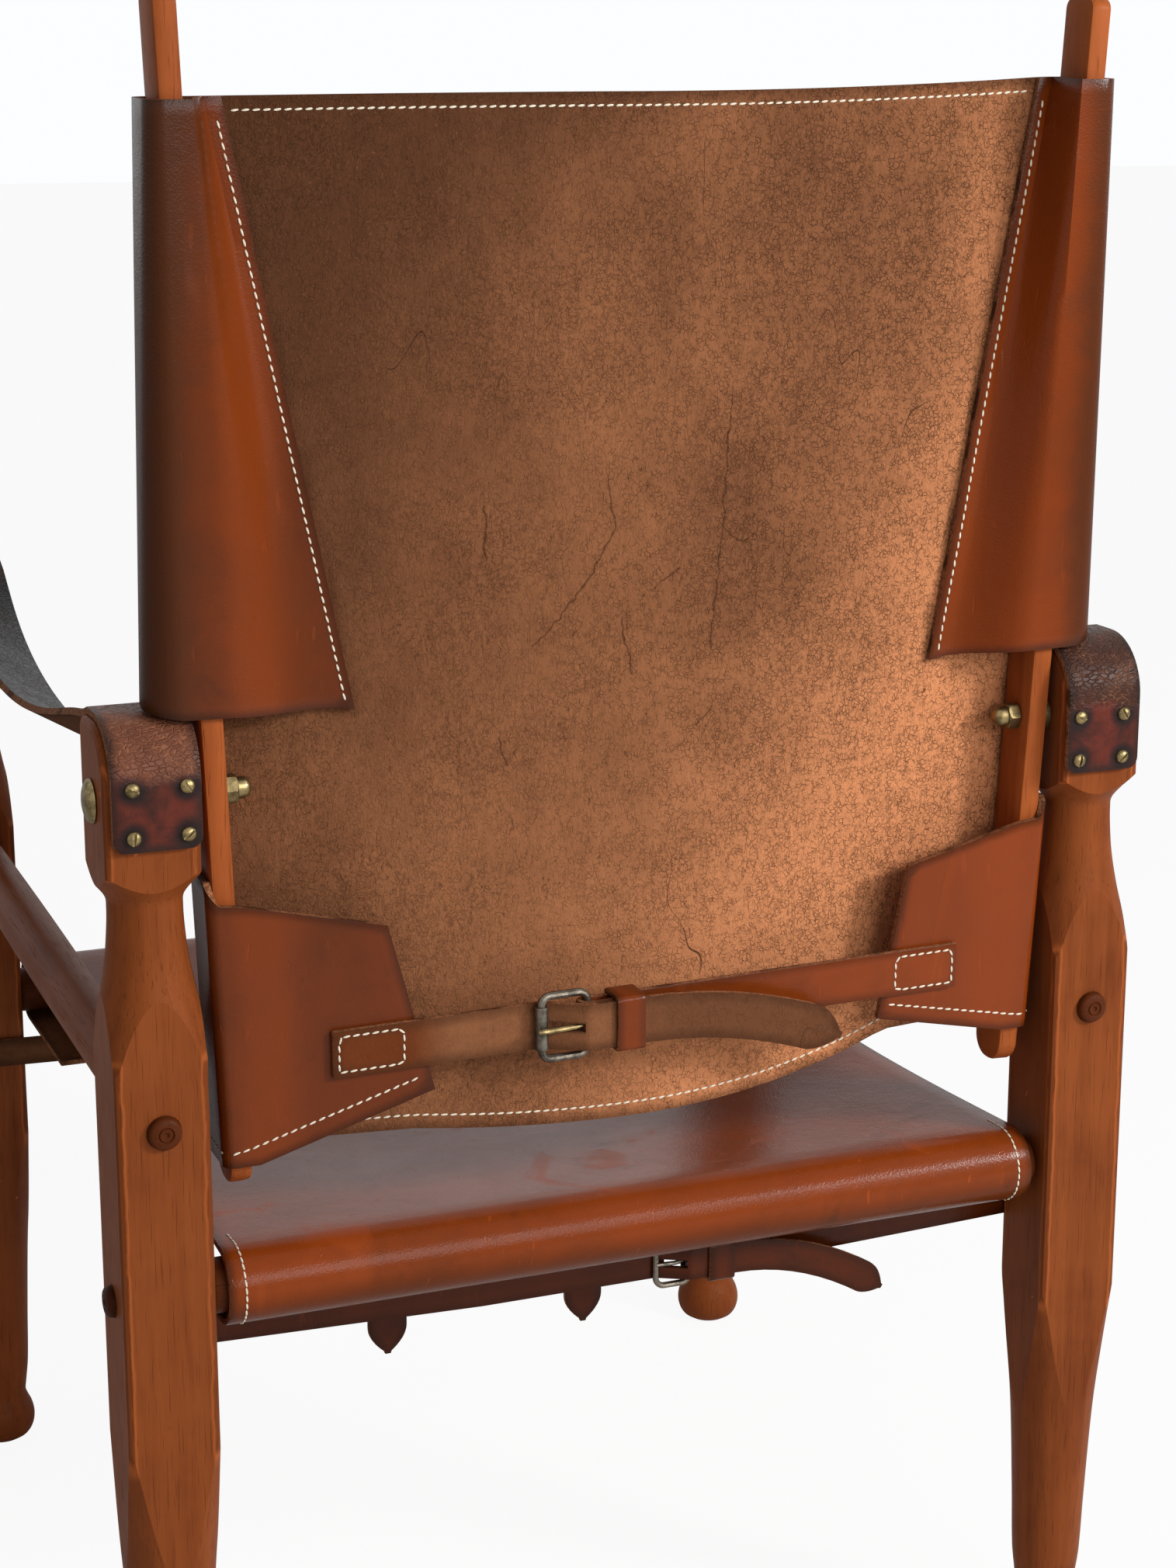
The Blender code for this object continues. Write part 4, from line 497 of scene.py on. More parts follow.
def arm_finish(name):
    """Arm leather: crazed brown over the heads, wine-dark at the screws, and grey between, which is painted
    sheen.
    """
    legs = bpy.context.scene.chair_legs
    graph = Graph(name, gloss=0.15)
    brown = graph.colours.arm_leather
    clouds = graph.noise(45, 4, 0.65, 0.5)
    wide = graph.drawn_out(0, 0.5, graph.shifted(0.004, 200))
    craze = 1 - graph.cells(430, "DISTANCE_TO_EDGE", wide).step(0.0, 0.16)
    head_from = legs.spacing_y / 2 - legs.side / 2
    near_head = abs(graph.part(1)) + (clouds - 0.5) * 0.03
    on_head = near_head.step(head_from + HEAD_FADE[0], head_from + HEAD_FADE[1])
    # Painted sheen: dark leather between the heads made grey, as its reflection makes it look.
    painted_sheen = graph.blend(clouds.step(0.3, 0.7), *PAINTED_SHEEN_GREYS)
    graph.base = graph.blend(on_head, painted_sheen, scaled(brown, 1.8))
    graph.lay(clouds.step(0.45, 0.7) * 0.45, brown, 0.6)
    worn = graph.noise(80, 4, 0.65).step(0.44, 0.62)
    right = (0 - graph.part(0)).step(-0.01, 0.01)
    graph.lay(right * on_head * 0.85, brown, 0.32)
    graph.lay(craze * on_head * worn * (0.55 - right * 0.2), CRAZE)
    screws_z = graph.part(2) + right * ARM_END_STEP - (legs.height - SCREWS_DROP)
    patch = on_head * (1 - (screws_z + (clouds - 0.5) * 0.012).step(*PATCH_FADE))
    wine = graph.blend(clouds.step(0.35, 0.7), *WINE)
    graph.base = graph.blend(patch * 0.95, graph.base, wine)
    across = abs(abs(abs(graph.part(0)) - (legs.spacing_x / 2 - ARM_INSET)) - SCREW_PITCH_X / 2)
    upwards = abs(abs(screws_z) - SCREW_PITCH_Z / 2)
    from_screw = (across * across + upwards * upwards) ** 0.5
    halo = 1 - (from_screw + (clouds - 0.5) * 0.003).step(*SCREW_HALO)
    graph.lay(halo * patch * 0.92, SOOT)
    edge = graph.rim() + (clouds - 0.5) * 0.006
    graph.lay((1 - edge.step(*ARM_RIM)) * 0.85, GRIME)
    frayed = (1 - edge.step(*ARM_FRAY)) * graph.noise(150, 3).step(0.46, 0.58)
    graph.lay(frayed * 0.8, FRAYED)
    roughness = 0.30 + clouds * 0.2 + craze * 0.15
    height = clouds * 0.6 - craze * (1 - patch) * 0.7 + graph.cells(900) * 0.12
    return graph.finish(roughness, height, 0.0006)


def metal_finish(name, metal_colour, roughness, patina, scale=260):
    """Worn metal: bright where rubbed, dark in the pits."""
    graph = Graph(name, roughness, 1.0, 0.5)
    pits = graph.noise(scale, 4, 0.65)
    smears = graph.noise(scale / 5, 3, 0.6)
    share = (pits * 0.6 + smears * 0.6).step(0.48, 0.8)
    graph.base = graph.blend(share, scaled(metal_colour, 1.25), scaled(metal_colour, patina))
    return graph.finish(roughness + share * 0.22, pits, 0.0003)


def thread_finish(name):
    """Waxed linen thread with a faint twist."""
    graph = Graph(name, 0.75)
    strands = graph.noise(1400, 2, 0.5)
    grime = graph.noise(45, 3)
    thread = graph.colours.thread
    graph.base = graph.blend(strands.step(0.4, 0.7) * 0.5, thread, scaled(thread, 0.55))
    graph.lay(grime.step(0.55, 0.8) * 0.45, graph.colours.flesh_light, 1.2)
    return graph.finish(None, strands, 0.0003)


MATERIALS = {}


def make_finishes():
    """All the chair's materials, once."""
    finish = bpy.context.scene.chair_finishes
    MATERIALS.update({
        "leg_wood": wood_finish("leg_wood", 2, corners=True, dark_below=0.06),
        "post_wood": wood_finish("post_wood", 2, tone=1.55),
        "side_rail_wood": wood_finish("side_rail_wood", 1, tone=0.95, button_from=0.2634),
        "seat_rail_wood": wood_finish("seat_rail_wood", 0, tone=0.6, button_from=0.2834),
        "grain": grain_finish("sling_grain", rim_dark=0.7, posts=True),
        "seat_grain": grain_finish(
            "seat_grain", tone=1.45, rim_dark=0.7, gloss=0.12, rough=0.15, dark_below=0.302),
        "belt_grain": grain_finish("belt_grain", tone=1.4, rim_dark=0.5),
        "strap_grain": grain_finish("strap_grain", tone=0.5, rim_dark=0.5),
        "flesh": flesh_finish("sling_flesh", soil_and_painted_shading=0.85),
        "belt_flesh": flesh_finish("belt_flesh", tone=0.9, nap=0.35, tip_dark=0.8),
        "strap_flesh": flesh_finish("strap_flesh", tone=0.5, nap=0.5),
        "edge": edge_finish("leather_edge"),
        "arm": arm_finish("arm_leather"),
        "brass": metal_finish("aged_brass", finish.brass, 0.32, 0.28),
        "iron": metal_finish("buckle_iron", finish.iron, 0.34, 0.3),
        "thread": thread_finish("linen_thread"),
    })


# Modelling helpers


def lerp(a, b, t):
    """Straight blend from a to b."""
    return a + (b - a) * t


def eased(t):
    """Smooth rise from 0 to 1."""
    return t * t * (3 - 2 * t)


def arc_points(centre, radius, start, end, steps):
    """Points of a circular arc in a plane, both ends included."""
    angles = [lerp(start, end, i / steps) for i in range(steps + 1)]
    return [(centre[0] + radius * math.cos(angle), centre[1] + radius * math.sin(angle)) for angle in angles]


def axis_matrix(point, direction):
    """Places local Z along a direction at a point."""
    towards = Vector((0, 0, 1)).rotation_difference(Vector(direction))
    return Matrix.Translation(point) @ towards.to_matrix().to_4x4()


def frame_matrix(origin, along, out):
    """Local X runs along a strap, Y out of its face, Z across its width."""
    x_axis = Vector(along).normalized()
    y_axis = Vector(out).normalized()
    axes = Matrix((x_axis, y_axis, x_axis.cross(y_axis))).transposed()
    return Matrix.Translation(origin) @ axes.to_4x4()


def upright():
    """Turns a side view, drawn in local XY, to world YZ."""
    return Matrix(((0, 0, 1), (1, 0, 0), (0, 1, 0))).to_4x4()


def back_place():
    """From the backrest's own frame to the chair's."""
    legs, posts, _ = sizes()
    pivot = (0, legs.spacing_y / 2, legs.height - legs.pivot_drop)
    return Matrix.Translation(pivot) @ Matrix.Rotation(-posts.lean, 4, "X")


def add(primitive, **settings):
    """Add a primitive with nothing else selected, and return it."""
    bpy.ops.object.select_all(action="DESELECT")
    getattr(bpy.ops.mesh, f"primitive_{primitive}_add")(**settings)
    return bpy.context.object


def select_only(obj):
    """Make a piece the only one selected, and the active one."""
    bpy.ops.object.select_all(action="DESELECT")
    obj.select_set(True)
    bpy.context.view_layer.objects.active = obj


def modify(obj, kind, **settings):
    """Add a modifier and apply it."""
    bpy.context.view_layer.objects.active = obj
    modifier = obj.modifiers.new(kind.title(), kind)
    for key, value in settings.items():
        setattr(modifier, key, value)
    bpy.ops.object.modifier_apply(modifier=modifier.name)


def ease(obj, width, degrees):
    """Bevel the edges that turn by more than an angle."""
    modify(obj, "BEVEL", width=width, segments=2, limit_method="ANGLE", angle_limit=math.radians(degrees))


def edit_only(obj, kind, wanted):
    """Enter edit mode with only some edges or faces selected."""
    bpy.context.tool_settings.mesh_select_mode = (False, kind == "EDGE", kind == "FACE")
    mesh = obj.data
    for group in (mesh.vertices, mesh.edges, mesh.polygons):
        group.foreach_set("select", [False] * len(group))
    chosen = mesh.edges if kind == "EDGE" else mesh.polygons
    chosen.foreach_set("select", wanted)
    bpy.ops.object.mode_set(mode="EDIT")


def round_edges(obj, wanted, radius, segments):
    """Round each edge whose two ends pass a test together."""
    chosen = []
    for edge in obj.data.edges:
        chosen.append(wanted(*(obj.data.vertices[index].co for index in edge.vertices)))
    edit_only(obj, "EDGE", chosen)
    bpy.ops.mesh.bevel(offset=radius, segments=segments, affect="EDGES")
    bpy.ops.object.mode_set(mode="OBJECT")


def cut(obj, cutter, operation="DIFFERENCE"):
    """Boolean with a helper, which is then deleted."""
    modify(obj, "BOOLEAN", object=cutter, operation=operation, solver="EXACT")
    bpy.data.objects.remove(cutter, do_unlink=True)


def block(size, middle, place=Matrix.Identity(4)):
    """Box of a size round its middle, in a piece's own frame."""
    obj = add("cube", size=1)
    obj.data.transform(place @ Matrix.Translation(middle) @ Matrix.Diagonal((*size, 1)))
    return obj


def turned(profile, matrix, steps=ROUND_STEPS):
    """Turned solid from (height, radius) pairs: a disc extruded and scaled station by station."""
    bottom, radius = profile[0]
    obj = add("circle", vertices=steps, radius=radius, fill_type="NGON", location=(0, 0, bottom))
    bpy.ops.object.transform_apply(location=True)
    bpy.ops.object.mode_set(mode="EDIT")
    bpy.ops.mesh.select_all(action="SELECT")
    for height, wide in profile[1:]:
        bpy.ops.mesh.extrude_region_move(TRANSFORM_OT_translate={"value": (0, 0, height - bottom)})
        grow = wide / radius
        bpy.ops.transform.resize(value=(grow, grow, 1), center_override=(0, 0, height))
        bottom, radius = height, wide
    bpy.ops.mesh.select_all(action="SELECT")
    bpy.ops.mesh.normals_make_consistent(inside=False)
    bpy.ops.object.mode_set(mode="OBJECT")
    obj.data.transform(matrix)
    return obj


def drill(obj, point, direction, radius, depth, steps=32):
    """Bore a round hole centred on a point."""
    cutter = add("cylinder", vertices=steps, radius=radius, depth=depth)
    cutter.data.transform(axis_matrix(point, direction))
    cut(obj, cutter)


def box_cut(obj, corner_low, corner_high, place):
    """Cut a box given by two corners in a piece's own frame."""
    size = Vector(corner_high) - Vector(corner_low)
    cut(obj, block(size, (Vector(corner_high) + Vector(corner_low)) / 2, place))


def shade(obj, *names, angle=SMOOTH_ANGLE):
    """Smooth the round faces and give the piece its materials."""
    select_only(obj)
    bpy.ops.object.shade_smooth_by_angle(angle=angle)
    if not obj.data.materials:
        for name in names:
            obj.data.materials.append(MATERIALS[name])
    return obj


def body_of(node):
    """Body that a CAD node belongs to."""
    bodies = frame["record"]["behaviour"]["bodies"]
    return next(body for body, members in bodies.items() if node in members)


def stand_for(obj, node):
    """Name the piece and let it stand for its CAD node."""
    obj.name = "fine_" + node
    obj.data.name = obj.name
    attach(obj, body_of(node))
    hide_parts(node)
    return obj


def sheet(rows, thickness, matrix, names, keep=None):
    """Leather from a grid of points: walls of their own finish, and rounded cut edges."""
    last_row = len(rows) - 1
    last_column = len(rows[0]) - 1
    obj = add("grid", x_subdivisions=last_column, y_subdivisions=last_row, size=1)
    for vert in obj.data.vertices:
        column = round((vert.co.x + 0.5) * last_column)
        row = round((vert.co.y + 0.5) * last_row)
        vert.co = rows[row][column]
    if keep:
        drop_faces(obj, last_column, keep)
    for name in names:
        obj.data.materials.append(MATERIALS[name])
    rim = rim_points(obj)
    modify(obj, "SOLIDIFY", thickness=thickness, offset=0, use_even_offset=True,
           material_offset=1, material_offset_rim=2)
    ease(obj, thickness * ROUND_SHARE, 60)
    mark_rim(obj, rim)
    obj.data.transform(matrix)
    return obj


def drop_faces(obj, columns, keep):
    """Delete the grid's faces that a pattern leaves out."""
    edit_only(obj, "FACE", [not keep(*divmod(face.index, columns)) for face in obj.data.polygons])
    bpy.ops.mesh.delete(type="FACE")
    bpy.ops.object.mode_set(mode="OBJECT")


def rim_points(obj):
    """Points close together along the open sheet's edge."""
    bm = bmesh.new()
    bm.from_mesh(obj.data)
    points = []
    for edge in bm.edges:
        if edge.is_boundary:
            start, end = (vert.co.copy() for vert in edge.verts)
            points += [start.lerp(end, step / 4) for step in range(4)]
    bm.free()
    return points


def mark_rim(obj, points):
    """Store each vertex's distance to the sheet's edge."""
    tree = KDTree(len(points))
    for index, point in enumerate(points):
        tree.insert(point, index)
    tree.balance()
    attribute = obj.data.attributes.new("rim", "FLOAT", "POINT")
    values = [tree.find(vert.co)[2] for vert in obj.data.vertices]
    attribute.data.foreach_set("value", values)


STRAP_COLUMNS = 6
TIP_SHARE = 0.16
TIP_POINT_SHARES = (0, 0.15, 0.3, 0.45, 0.6, 0.72, 0.82, 0.9, 0.96, 1)
ROUND_SHARE = 0.24


def distances(points):
    """Distance of each point of a route from its start."""
    steps = ((after - before).length for before, after in zip(points, points[1:]))
    return list(accumulate(steps, initial=0))


def strap(route, width, thickness, matrix, names, tip=0, corner=0, twist=None):
    """Strap along a route of (along, out, across) points, with a tip or round corners."""
    points = [Vector(point) for point in route]
    run = distances(points)
    rows = []
    for i, point in enumerate(points):
        ahead = points[min(i + 1, len(points) - 1)] - points[max(i - 1, 0)]
        normal = Vector((-ahead.y, ahead.x, 0)).normalized()
        across = ahead.cross(normal).normalized()
        if twist:
            across = Matrix.Rotation(twist(point.x), 3, ahead) @ across
        half = half_width(run[i], run[-1], width / 2, tip, corner)
        rows.append([point + across * half * (2 * c / STRAP_COLUMNS - 1) for c in range(STRAP_COLUMNS + 1)])
    return sheet(rows, thickness, matrix, names)


def half_width(place, total, half, tip, corner):
    """Half the strap's width at a distance along it."""
    from_far = total - place
    if tip and from_far < tip:
        return half * max(1 - (1 - from_far / tip) ** 2, TIP_SHARE)
    near_end = min(place, from_far)
    if corner and near_end < corner:
        return half - corner + math.sqrt(corner ** 2 - (corner - near_end) ** 2)
    return half


def fine_tip(route, reach):
    """The route with close points on its last stretch, where the tip curves."""
    points = [Vector(point) for point in route]
    run = distances(points)
    start = run[-1] - reach
    kept = [point for point, place in zip(points, run) if place < start - reach * 0.05]
    return kept + [point_at(points, run, start + reach * share) for share in TIP_POINT_SHARES]


def point_at(points, run, place):
    """Point at a distance along a route."""
    for i in range(1, len(points)):
        if run[i] >= place - TINY:
            share = (place - run[i - 1]) / max(run[i] - run[i - 1], TINY)
            return points[i - 1].lerp(points[i], share)
    return points[-1]


def filled(route, spacing):
    """The route with its long straight runs divided."""
    points = [Vector(route[0])]
    for place in route[1:]:
        start = points[-1]
        end = Vector(place)
        parts = max(1, round((end - start).length / spacing))
        points += [start.lerp(end, step / parts) for step in range(1, parts + 1)]
    return points


def swept(points, radius, matrix, cyclic=False):
    """Round wire along a route, as a mesh."""
    data = bpy.data.curves.new("wire", "CURVE")
    data.dimensions = "3D"
    data.bevel_depth = radius
    data.bevel_resolution = 3
    data.use_fill_caps = not cyclic
    spline = data.splines.new("POLY")
    spline.points.add(len(points) - 1)
    for point, place in zip(spline.points, points):
        point.co = (*place, 1)
    spline.use_cyclic_u = cyclic
    obj = bpy.data.objects.new("wire", data)
    bpy.context.collection.objects.link(obj)
    select_only(obj)
    bpy.ops.object.convert(target="MESH")
    obj = bpy.context.object
    modify(obj, "WELD", merge_threshold=NEAR)
    obj.data.transform(matrix)
    return obj


# Wooden frame

FOOT_TURNING_SHARES = (
    (0.000, 0.290), (0.012, 0.385), (0.034, 0.448), (0.061, 0.466), (0.088, 0.440),
    (0.110, 0.390), (0.129, 0.358), (0.156, 0.372), (0.220, 0.410), (0.366, 0.440),
    (0.598, 0.500), (0.756, 0.578), (0.900, 0.668), (1.000, 0.760),
)
NECK_TURNING_SHARES = (
    (0.000, 0.706), (0.057, 0.668), (0.206, 0.590), (0.365, 0.500), (0.526, 0.432),
    (0.664, 0.402), (0.757, 0.394), (0.812, 0.406), (0.868, 0.500), (0.944, 0.668),
    (1.000, 0.760),
)


def smoothed(profile, parts=5):
    """Profile with points added on a smooth curve through it."""
    points = []
    for i in range(len(profile) - 1):
        before = profile[max(i - 1, 0)]
        start = profile[i]
        end = profile[i + 1]
        after = profile[min(i + 2, len(profile) - 1)]
        for step in range(parts):
            t = step / parts
            height = lerp(start[0], end[0], t)
            rise_in = (end[1] - before[1]) / max(end[0] - before[0], 1e-6) * (end[0] - start[0])
            rise_out = (after[1] - start[1]) / max(after[0] - start[0], 1e-6) * (end[0] - start[0])
            radius = ((2 * t ** 3 - 3 * t ** 2 + 1) * start[1] + (t ** 3 - 2 * t ** 2 + t) * rise_in
                      + (3 * t ** 2 - 2 * t ** 3) * end[1] + (t ** 3 - t ** 2) * rise_out)
            points.append((height, radius))
    return points + [profile[-1]]


def leg_profile():
    """Lathe profile from the floor to over the head; it leaves block and head square."""
    legs = bpy.context.scene.chair_legs
    block_foot = legs.height - legs.seat_rail_back - legs.block_below
    block_top = legs.height - legs.side_rail_front + legs.block_above
    head_foot = legs.height - legs.head
    foot = [(block_foot * share, legs.side * wide) for share, wide in FOOT_TURNING_SHARES]
    neck = [(lerp(block_top, head_foot, share), legs.side * wide) for share, wide in NECK_TURNING_SHARES]
    over = [(legs.height + legs.chamfer, neck[-1][1])]
    return smoothed(foot) + smoothed(neck) + over


def leg_blank(centre, side_y):
    """Square blank with its crown rounded and its corners eased."""
    legs = bpy.context.scene.chair_legs
    half = legs.side / 2
    stock = legs.height + legs.chamfer * 4
    obj = block((legs.side, legs.side, stock), (0, 0, legs.height - stock / 2))
    for direction, radius in ((side_y, legs.crown_outer), (-side_y, legs.crown_inner)):

        def at_crown(*ends):
            return all(end.z > legs.height - NEAR and end.y * direction > half - NEAR for end in ends)

        round_edges(obj, at_crown, radius, 12)
    ease(obj, legs.chamfer, 40)
    obj.data.transform(Matrix.Translation(centre))
    return obj


def side_rail_ends():
    """Heights of a side rail at the back and front legs."""
    legs = bpy.context.scene.chair_legs
    return legs.height - legs.side_rail_back, legs.height - legs.side_rail_front


TENON_GAP = 0.0003
HAIR = 0.0001
SIDE_TENON = 0.0085
SEAT_TENON = 0.0080
BOLT_RADIUS = 0.0040
BORE_OVERRUN = 1.3
SIDEWAYS = (1, 0, 0)


def make_leg(node, side_x, side_y):
    """Blank cut by the lathe form, then bored for tenons and bolt."""
    legs = bpy.context.scene.chair_legs
    centre = Vector((side_x * legs.spacing_x / 2, side_y * legs.spacing_y / 2, 0))
    obj = leg_blank(centre, side_y)
    cut(obj, turned(leg_profile(), Matrix.Translation(centre), LEG_STEPS), "INTERSECT")
    back_z, front_z = side_rail_ends()
    slope = Vector((0, legs.spacing_y, back_z - front_z))
    if side_y > 0:
        bores = [(back_z, slope, SIDE_TENON), (legs.height - legs.seat_rail_back, SIDEWAYS, SEAT_TENON)]
        bores.append((legs.height - legs.pivot_drop, SIDEWAYS, BOLT_RADIUS))
    else:
        bores = [(front_z, slope, SIDE_TENON), (legs.height - legs.seat_rail_front, SIDEWAYS, SEAT_TENON)]
    for height, direction, radius in bores:
        drill(obj, centre + Vector((0, 0, height)), direction, radius + TENON_GAP, legs.side * BORE_OVERRUN)
    return stand_for(shade(obj, "leg_wood", angle=LEG_SMOOTH_ANGLE), node)


# Rails: radii at the middle and at the ends, and the tenon's button as shares of its height and radius
SIDE_RAIL = (0.0145, 0.0132)
SEAT_RAIL = (0.0165, 0.0140)
RAIL_EASE = 0.003
RAIL_STEPS = 12
BUTTON_HEIGHT = 0.0048
BUTTON_SHARES = (
    (0.24, 0.10), (0.06, 0.20), (0.02, 0.36), (0.18, 0.43), (0.03, 0.50), (0.10, 0.76), (0.24, 0.90),
    (0.45, 0.98), (0.70, 1.0),
)


def rail_profile(half_span, radii, tenon, slack):
    """A turned rail from end to end, with round shoulders and domed buttons."""
    legs = bpy.context.scene.chair_legs
    middle, end = radii
    shoulder = half_span - legs.side / 2 - TENON_GAP - slack
    tip = half_span + legs.side / 2 + BUTTON_HEIGHT
    half = [(tip - BUTTON_HEIGHT * drop, tenon * wide) for drop, wide in BUTTON_SHARES]
    half += [(shoulder + HAIR, tenon), (shoulder, end - RAIL_EASE)]
    for share in (0.3, 0.6, 1):
        angle = share * math.pi / 2
        half.append((shoulder - RAIL_EASE * (1 - math.cos(angle)), end - RAIL_EASE * (1 - math.sin(angle))))
    for step in range(1, RAIL_STEPS + 1):
        share = step / RAIL_STEPS
        half.append((shoulder * (1 - share), lerp(end, middle, math.sin(share * math.pi / 2))))
    return [(-height, radius) for height, radius in half[:-1]] + list(reversed(half))


def make_rails():
    """Two sloping side rails and two seat rails."""
    legs = bpy.context.scene.chair_legs
    back_z, front_z = side_rail_ends()
    rise = (front_z - back_z) / legs.spacing_y
    half_span = legs.spacing_y / 2 * math.sqrt(1 + rise ** 2)
    for word, side in (("left", 1), ("right", -1)):
        profile = rail_profile(half_span, SIDE_RAIL, SIDE_TENON, SIDE_RAIL[1] * rise)
        middle = (side * legs.spacing_x / 2, 0, (back_z + front_z) / 2)
        place = axis_matrix(middle, (0, legs.spacing_y, back_z - front_z))
        stand_for(shade(turned(profile, place), "side_rail_wood"), f"side_rail_{word}")
    for word, side, drop in (("back", 1, legs.seat_rail_back), ("front", -1, legs.seat_rail_front)):
        profile = rail_profile(legs.spacing_x / 2, SEAT_RAIL, SEAT_TENON, 0)
        place = axis_matrix((0, side * legs.spacing_y / 2, legs.height - drop), SIDEWAYS)
        stand_for(shade(turned(profile, place), "seat_rail_wood"), f"seat_rail_{word}")


# Back posts


def post_x(z):
    """Middle of a post at a height over the pivot."""
    posts = bpy.context.scene.chair_posts
    return pivot_x() + z * math.tan(posts.splay)


def pivot_x():
    """Middle of a post at the pivot."""
    legs, posts, _ = sizes()
    return legs.spacing_x / 2 - legs.side / 2 - posts.leg_gap - posts.thickness / 2


POST_TOP_RADIUS = 0.006
POST_FOOT_RADIUS = 0.0125
POST_EASE = 0.0019


def make_post(node, side, below):
    """Flat bar with rounded corners, a softened top and a rounded foot."""
    posts = bpy.context.scene.chair_posts
    obj = block((posts.thickness, posts.depth, posts.above + below), (0, 0, (posts.above - below) / 2))
    for height, radius in ((posts.above, POST_TOP_RADIUS), (-below, POST_FOOT_RADIUS)):

        def across_end(start, end):
            at_end = abs(start.z - height) < NEAR and abs(end.z - height) < NEAR
            return at_end and abs(start.y - end.y) < NEAR

        round_edges(obj, across_end, radius, 10)
    ease(obj, POST_EASE, 45)
    splay = Matrix.Rotation(side * posts.splay, 4, "Y")
    obj.data.transform(Matrix.Translation((side * pivot_x(), 0, 0)) @ splay)
    drill(obj, (side * pivot_x(), 0, 0), SIDEWAYS, BOLT_RADIUS + TENON_GAP, posts.thickness * 2)
    obj.data.transform(back_place())
    return stand_for(shade(obj, "post_wood"), node)


# Hardware


BOLT_HEAD = 0.011
BOLT_DOME = 0.0041
BOLT_GRIP = 0.008
NUT_ACROSS = 0.013
NUT_HEIGHT = 0.0065
CAP_RADIUS = 0.0056
CAP_FOOT = 0.003
CAP_SHOULDER = 0.0095
CAP_DOME = 0.0045
NUT_BORE = 0.0166
WASHER_RADIUS = 0.010
HARDWARE_STEPS = 40


def nut_face():
    """Distance from the chair's middle to the cap nut's seat on the post."""
    posts = bpy.context.scene.chair_posts
    room = NUT_ACROSS / 2 * math.tan(posts.splay)
    return pivot_x() - posts.thickness / 2 / math.cos(posts.splay) - room - TENON_GAP


def pivot_place(x, side):
    """On the pivot's line at a distance from the middle, facing to a side."""
    legs = bpy.context.scene.chair_legs
    return axis_matrix((x, legs.spacing_y / 2, legs.height - legs.pivot_drop), (side, 0, 0))


def dome(height, radius, steps=7):
    """Profile of a low dome, edge first."""
    points = []
    for step in range(steps):
        angle = step / steps * math.pi / 2
        points.append((height * math.sin(angle), radius * math.cos(angle)))
    return points + [(height, radius * 0.04)]


def make_bolt(node, side):
    """Domed bolt through the leg and the post."""
    legs = bpy.context.scene.chair_legs
    head = legs.spacing_x / 2 + legs.side / 2 + TENON_GAP
    shank = head - nut_face() + BOLT_GRIP
    profile = [(-shank, BOLT_RADIUS), (-HAIR, BOLT_RADIUS), (0, BOLT_HEAD - HAIR * 5)]
    profile += [(HAIR * 4 + height, radius) for height, radius in dome(BOLT_DOME, BOLT_HEAD)]
    obj = turned(profile, pivot_place(side * head, side), HARDWARE_STEPS)
    return stand_for(shade(obj, "brass"), node)


def make_nut(node, side):
    """Cap nut: a chamfered hexagon that carries a tall dome."""
    corner = NUT_ACROSS / math.sqrt(3)
    obj = turned([(0, corner), (NUT_HEIGHT, corner)], Matrix.Identity(4), 6)
    chamfer = [(-0.001, 0.0068), (0, 0.0069), (0.0006, corner), (NUT_HEIGHT - 0.001, corner)]
    chamfer.append((NUT_HEIGHT + HAIR, 0.0063))
    cap = [(CAP_FOOT, CAP_RADIUS), (CAP_SHOULDER, CAP_RADIUS)]
    cap += [(CAP_SHOULDER + height, radius) for height, radius in dome(CAP_DOME, CAP_RADIUS)[1:]]
    for profile, operation in ((chamfer, "INTERSECT"), (cap, "UNION")):
        cut(obj, turned(profile, Matrix.Identity(4), HARDWARE_STEPS), operation)
    drill(obj, (0, 0, 0), (0, 0, 1), BOLT_RADIUS + TENON_GAP, NUT_BORE)
    obj.data.transform(pivot_place(side * nut_face(), -side))
    return stand_for(shade(obj, "brass"), node)


def make_washer(node):
    """Washer between post and leg, eased at its edges."""
    corner_low, corner_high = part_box(node)
    middle = (corner_low + corner_high) / 2
    half = (corner_high.x - corner_low.x) / 2
    inner = WASHER_RADIUS - half * 0.2
    profile = [(-half, inner), (half * -0.8, WASHER_RADIUS), (half * 0.8, WASHER_RADIUS), (half, inner)]
    obj = turned(profile, axis_matrix(middle, SIDEWAYS), HARDWARE_STEPS)
    drill(obj, middle, SIDEWAYS, BOLT_RADIUS + TENON_GAP, half * 4)
    return stand_for(shade(obj, "brass"), node)


SCREW_HEAD = 0.00375
SCREW_DOME = 0.0024
SCREW_SHANK = 0.0019
SCREW_LENGTH = 0.016
SCREW_POINT = 0.0122
SLOT_HALF = 0.0006
SLOT_FLOOR = 0.0009


def make_screw(node, number):
    """Round-head wood screw with its slot turned its own way."""
    corner_low, corner_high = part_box(node)
    side = 1 if corner_high.y > 0 else -1
    middle = (corner_low + corner_high) / 2
    outer = corner_high.y if side > 0 else corner_low.y
    profile = [(-SCREW_LENGTH, HAIR * 2), (-SCREW_POINT, SCREW_SHANK), (-HAIR, SCREW_SHANK), (0, SCREW_HEAD)]
    profile += dome(SCREW_DOME, SCREW_HEAD)[1:]
    place = axis_matrix((middle.x, outer - side * SCREW_DOME, middle.z), (0, side, 0))
    place = place @ Matrix.Rotation(math.radians(40 * number), 4, "Z")
    obj = turned(profile, place, 24)
    reach = SCREW_HEAD * 2
    box_cut(obj, (-reach, -SLOT_HALF, SLOT_FLOOR), (reach, SLOT_HALF, reach), place)
    return stand_for(shade(obj, "brass"), node)


# Back sling, in the backrest's own frame: pivot axis at the origin, posts along Z


